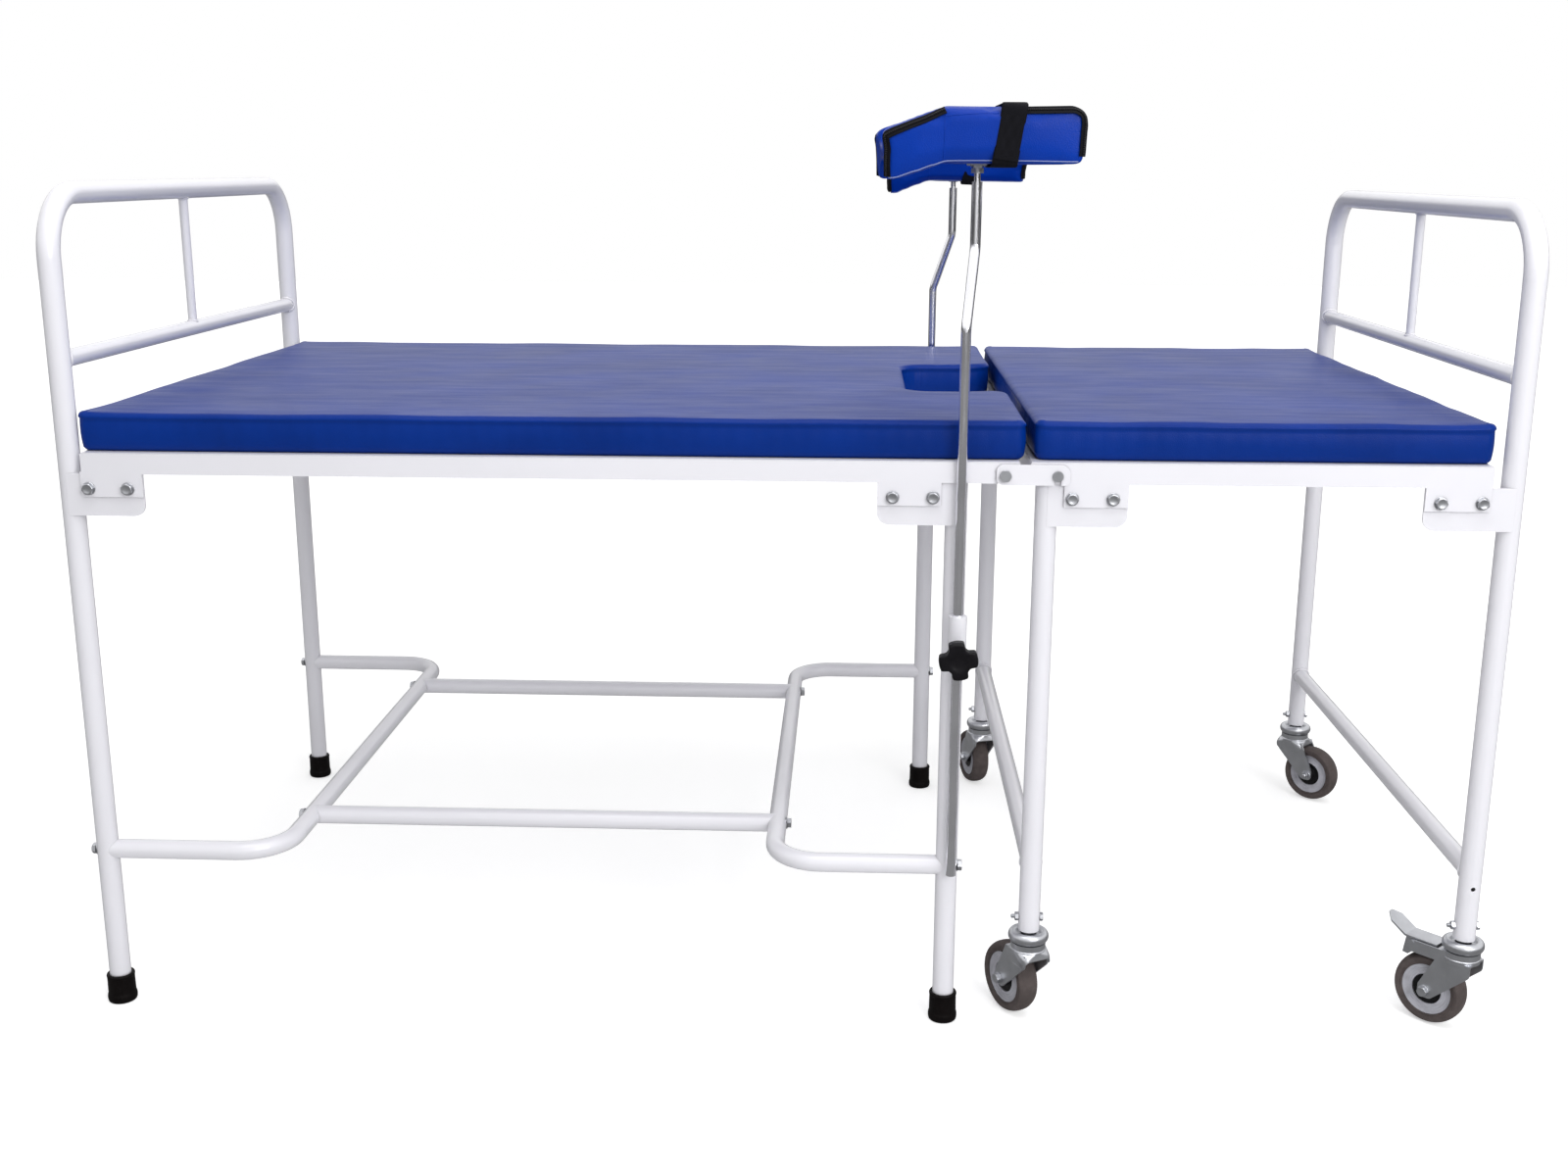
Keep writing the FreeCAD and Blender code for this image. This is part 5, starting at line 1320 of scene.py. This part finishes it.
def one_or_other(owner, fac, first, second):
    """The first shader where fac is 0 and the second where it is 1."""
    return add(owner, "ShaderNodeMixShader", {"Fac": fac, 1: first, 2: second}, "Shader")


def floor_finish(studio):
    """A matt pale floor that looks white to the camera, with the bed's shadow kept. Glossy surfaces
    see it as a dull grey."""
    material, shader, place = new_material("floor_white")
    at = place["Object"]
    tone = between(material, noise(material, at, 3, 2), 0, 1)
    plug(shader, {"Base Color": two_colours(material, tone, shade(studio.floor, 0.99), shade(studio.floor)),
                  "Roughness": 0.9, "Specular IOR Level": 0.0})
    away = add(material, "ShaderNodeVectorMath", {0: at}, "Value", operation="LENGTH")
    level = between(material, away, studio.glow, studio.far_glow, 1.1, 2.6)
    ray = add(material, "ShaderNodeLightPath", {}).outputs
    seen = calc(material, "MULTIPLY", ray["Is Camera Ray"], level)
    glow = add(material, "ShaderNodeEmission", {"Strength": seen}, "Emission")
    both = add(material, "ShaderNodeAddShader", {0: shader.outputs["BSDF"], 1: glow}, "Shader")
    dull = add(material, "ShaderNodeEmission", {"Strength": studio.floor_reflected}, "Emission")
    out = material.node_tree.get_output_node("ALL")
    plug(out, {"Surface": one_or_other(material, ray["Is Glossy Ray"], both, dull)})
    return material


def surround(scene, studio):
    """A white world: plain light on the object and pure white behind it. Glossy surfaces see a studio
    instead: white above and behind the camera, with dark flags low down at the sides and the back."""
    world = bpy.data.worlds.new("surround")
    scene.world = world
    world.use_nodes = True
    world.node_tree.nodes.clear()
    way = add(world, "ShaderNodeTexCoord", {}, "Generated")
    split = add(world, "ShaderNodeSeparateXYZ", {"Vector": way}).outputs
    above = between(world, split["Z"], studio.flags, studio.reflected, 0.04, 0.20)
    ahead = between(world, split["Y"], 0.8, 0, -0.97, -0.85)
    studio_light = calc(world, "MAXIMUM", above, ahead)
    ray = add(world, "ShaderNodeLightPath", {}).outputs
    plain_light, white, glossy = (
        add(world, "ShaderNodeBackground", {"Color": (1, 1, 1, 1), "Strength": strength}, "Background")
        for strength in (studio.sky, 1.0, studio_light))
    shown = one_or_other(world, ray["Is Camera Ray"], plain_light, white)
    shown = one_or_other(world, ray["Is Glossy Ray"], shown, glossy)
    add(world, "ShaderNodeOutputWorld", {"Surface": shown})


class BED_PT_panel(bpy.types.Panel):
    """Lists the bed's pieces and settings"""

    bl_idname = "BED_PT_panel"
    bl_label = "Delivery bed"
    bl_space_type = "VIEW_3D"
    bl_region_type = "UI"
    bl_category = "Delivery bed"

    def draw(self, context):
        for operator in OPERATORS:
            self.layout.operator(operator.bl_idname)
        for group in GROUPS:
            settings = getattr(context.scene, group)
            box = self.layout.box()
            for name in settings.__annotations__:
                box.prop(settings, name)


OPERATORS = (BED_OT_studio, BED_OT_frame_finishes, BED_OT_mattresses, BED_OT_crutch_cushions,
             BED_OT_crutch_straps, BED_OT_crutch_hardware, BED_OT_clamp_knobs, BED_OT_castor_wheels,
             BED_OT_castor_hardware, BED_OT_ferrules, BED_OT_bracket_bolts, BED_OT_brace_bolts, BED_OT_welds)
GROUPS = {"bed_colours": BedColours, "bed_padding": PaddingSizes, "bed_hardware": HardwareSizes,
          "bed_studio": StudioSettings}


def register():
    for name, group in GROUPS.items():
        bpy.utils.register_class(group)
        setattr(bpy.types.Scene, name, PointerProperty(type=group))
    for item in (*OPERATORS, BED_PT_panel):
        bpy.utils.register_class(item)


def unregister():
    for item in (BED_PT_panel, *reversed(OPERATORS)):
        bpy.utils.unregister_class(item)
    for name, group in reversed(GROUPS.items()):
        delattr(bpy.types.Scene, name)
        bpy.utils.unregister_class(group)


def main():
    register()
    for operator in OPERATORS:
        family, name = operator.bl_idname.split(".")
        getattr(getattr(bpy.ops, family), name)()


if __name__ == "__main__":
    main()
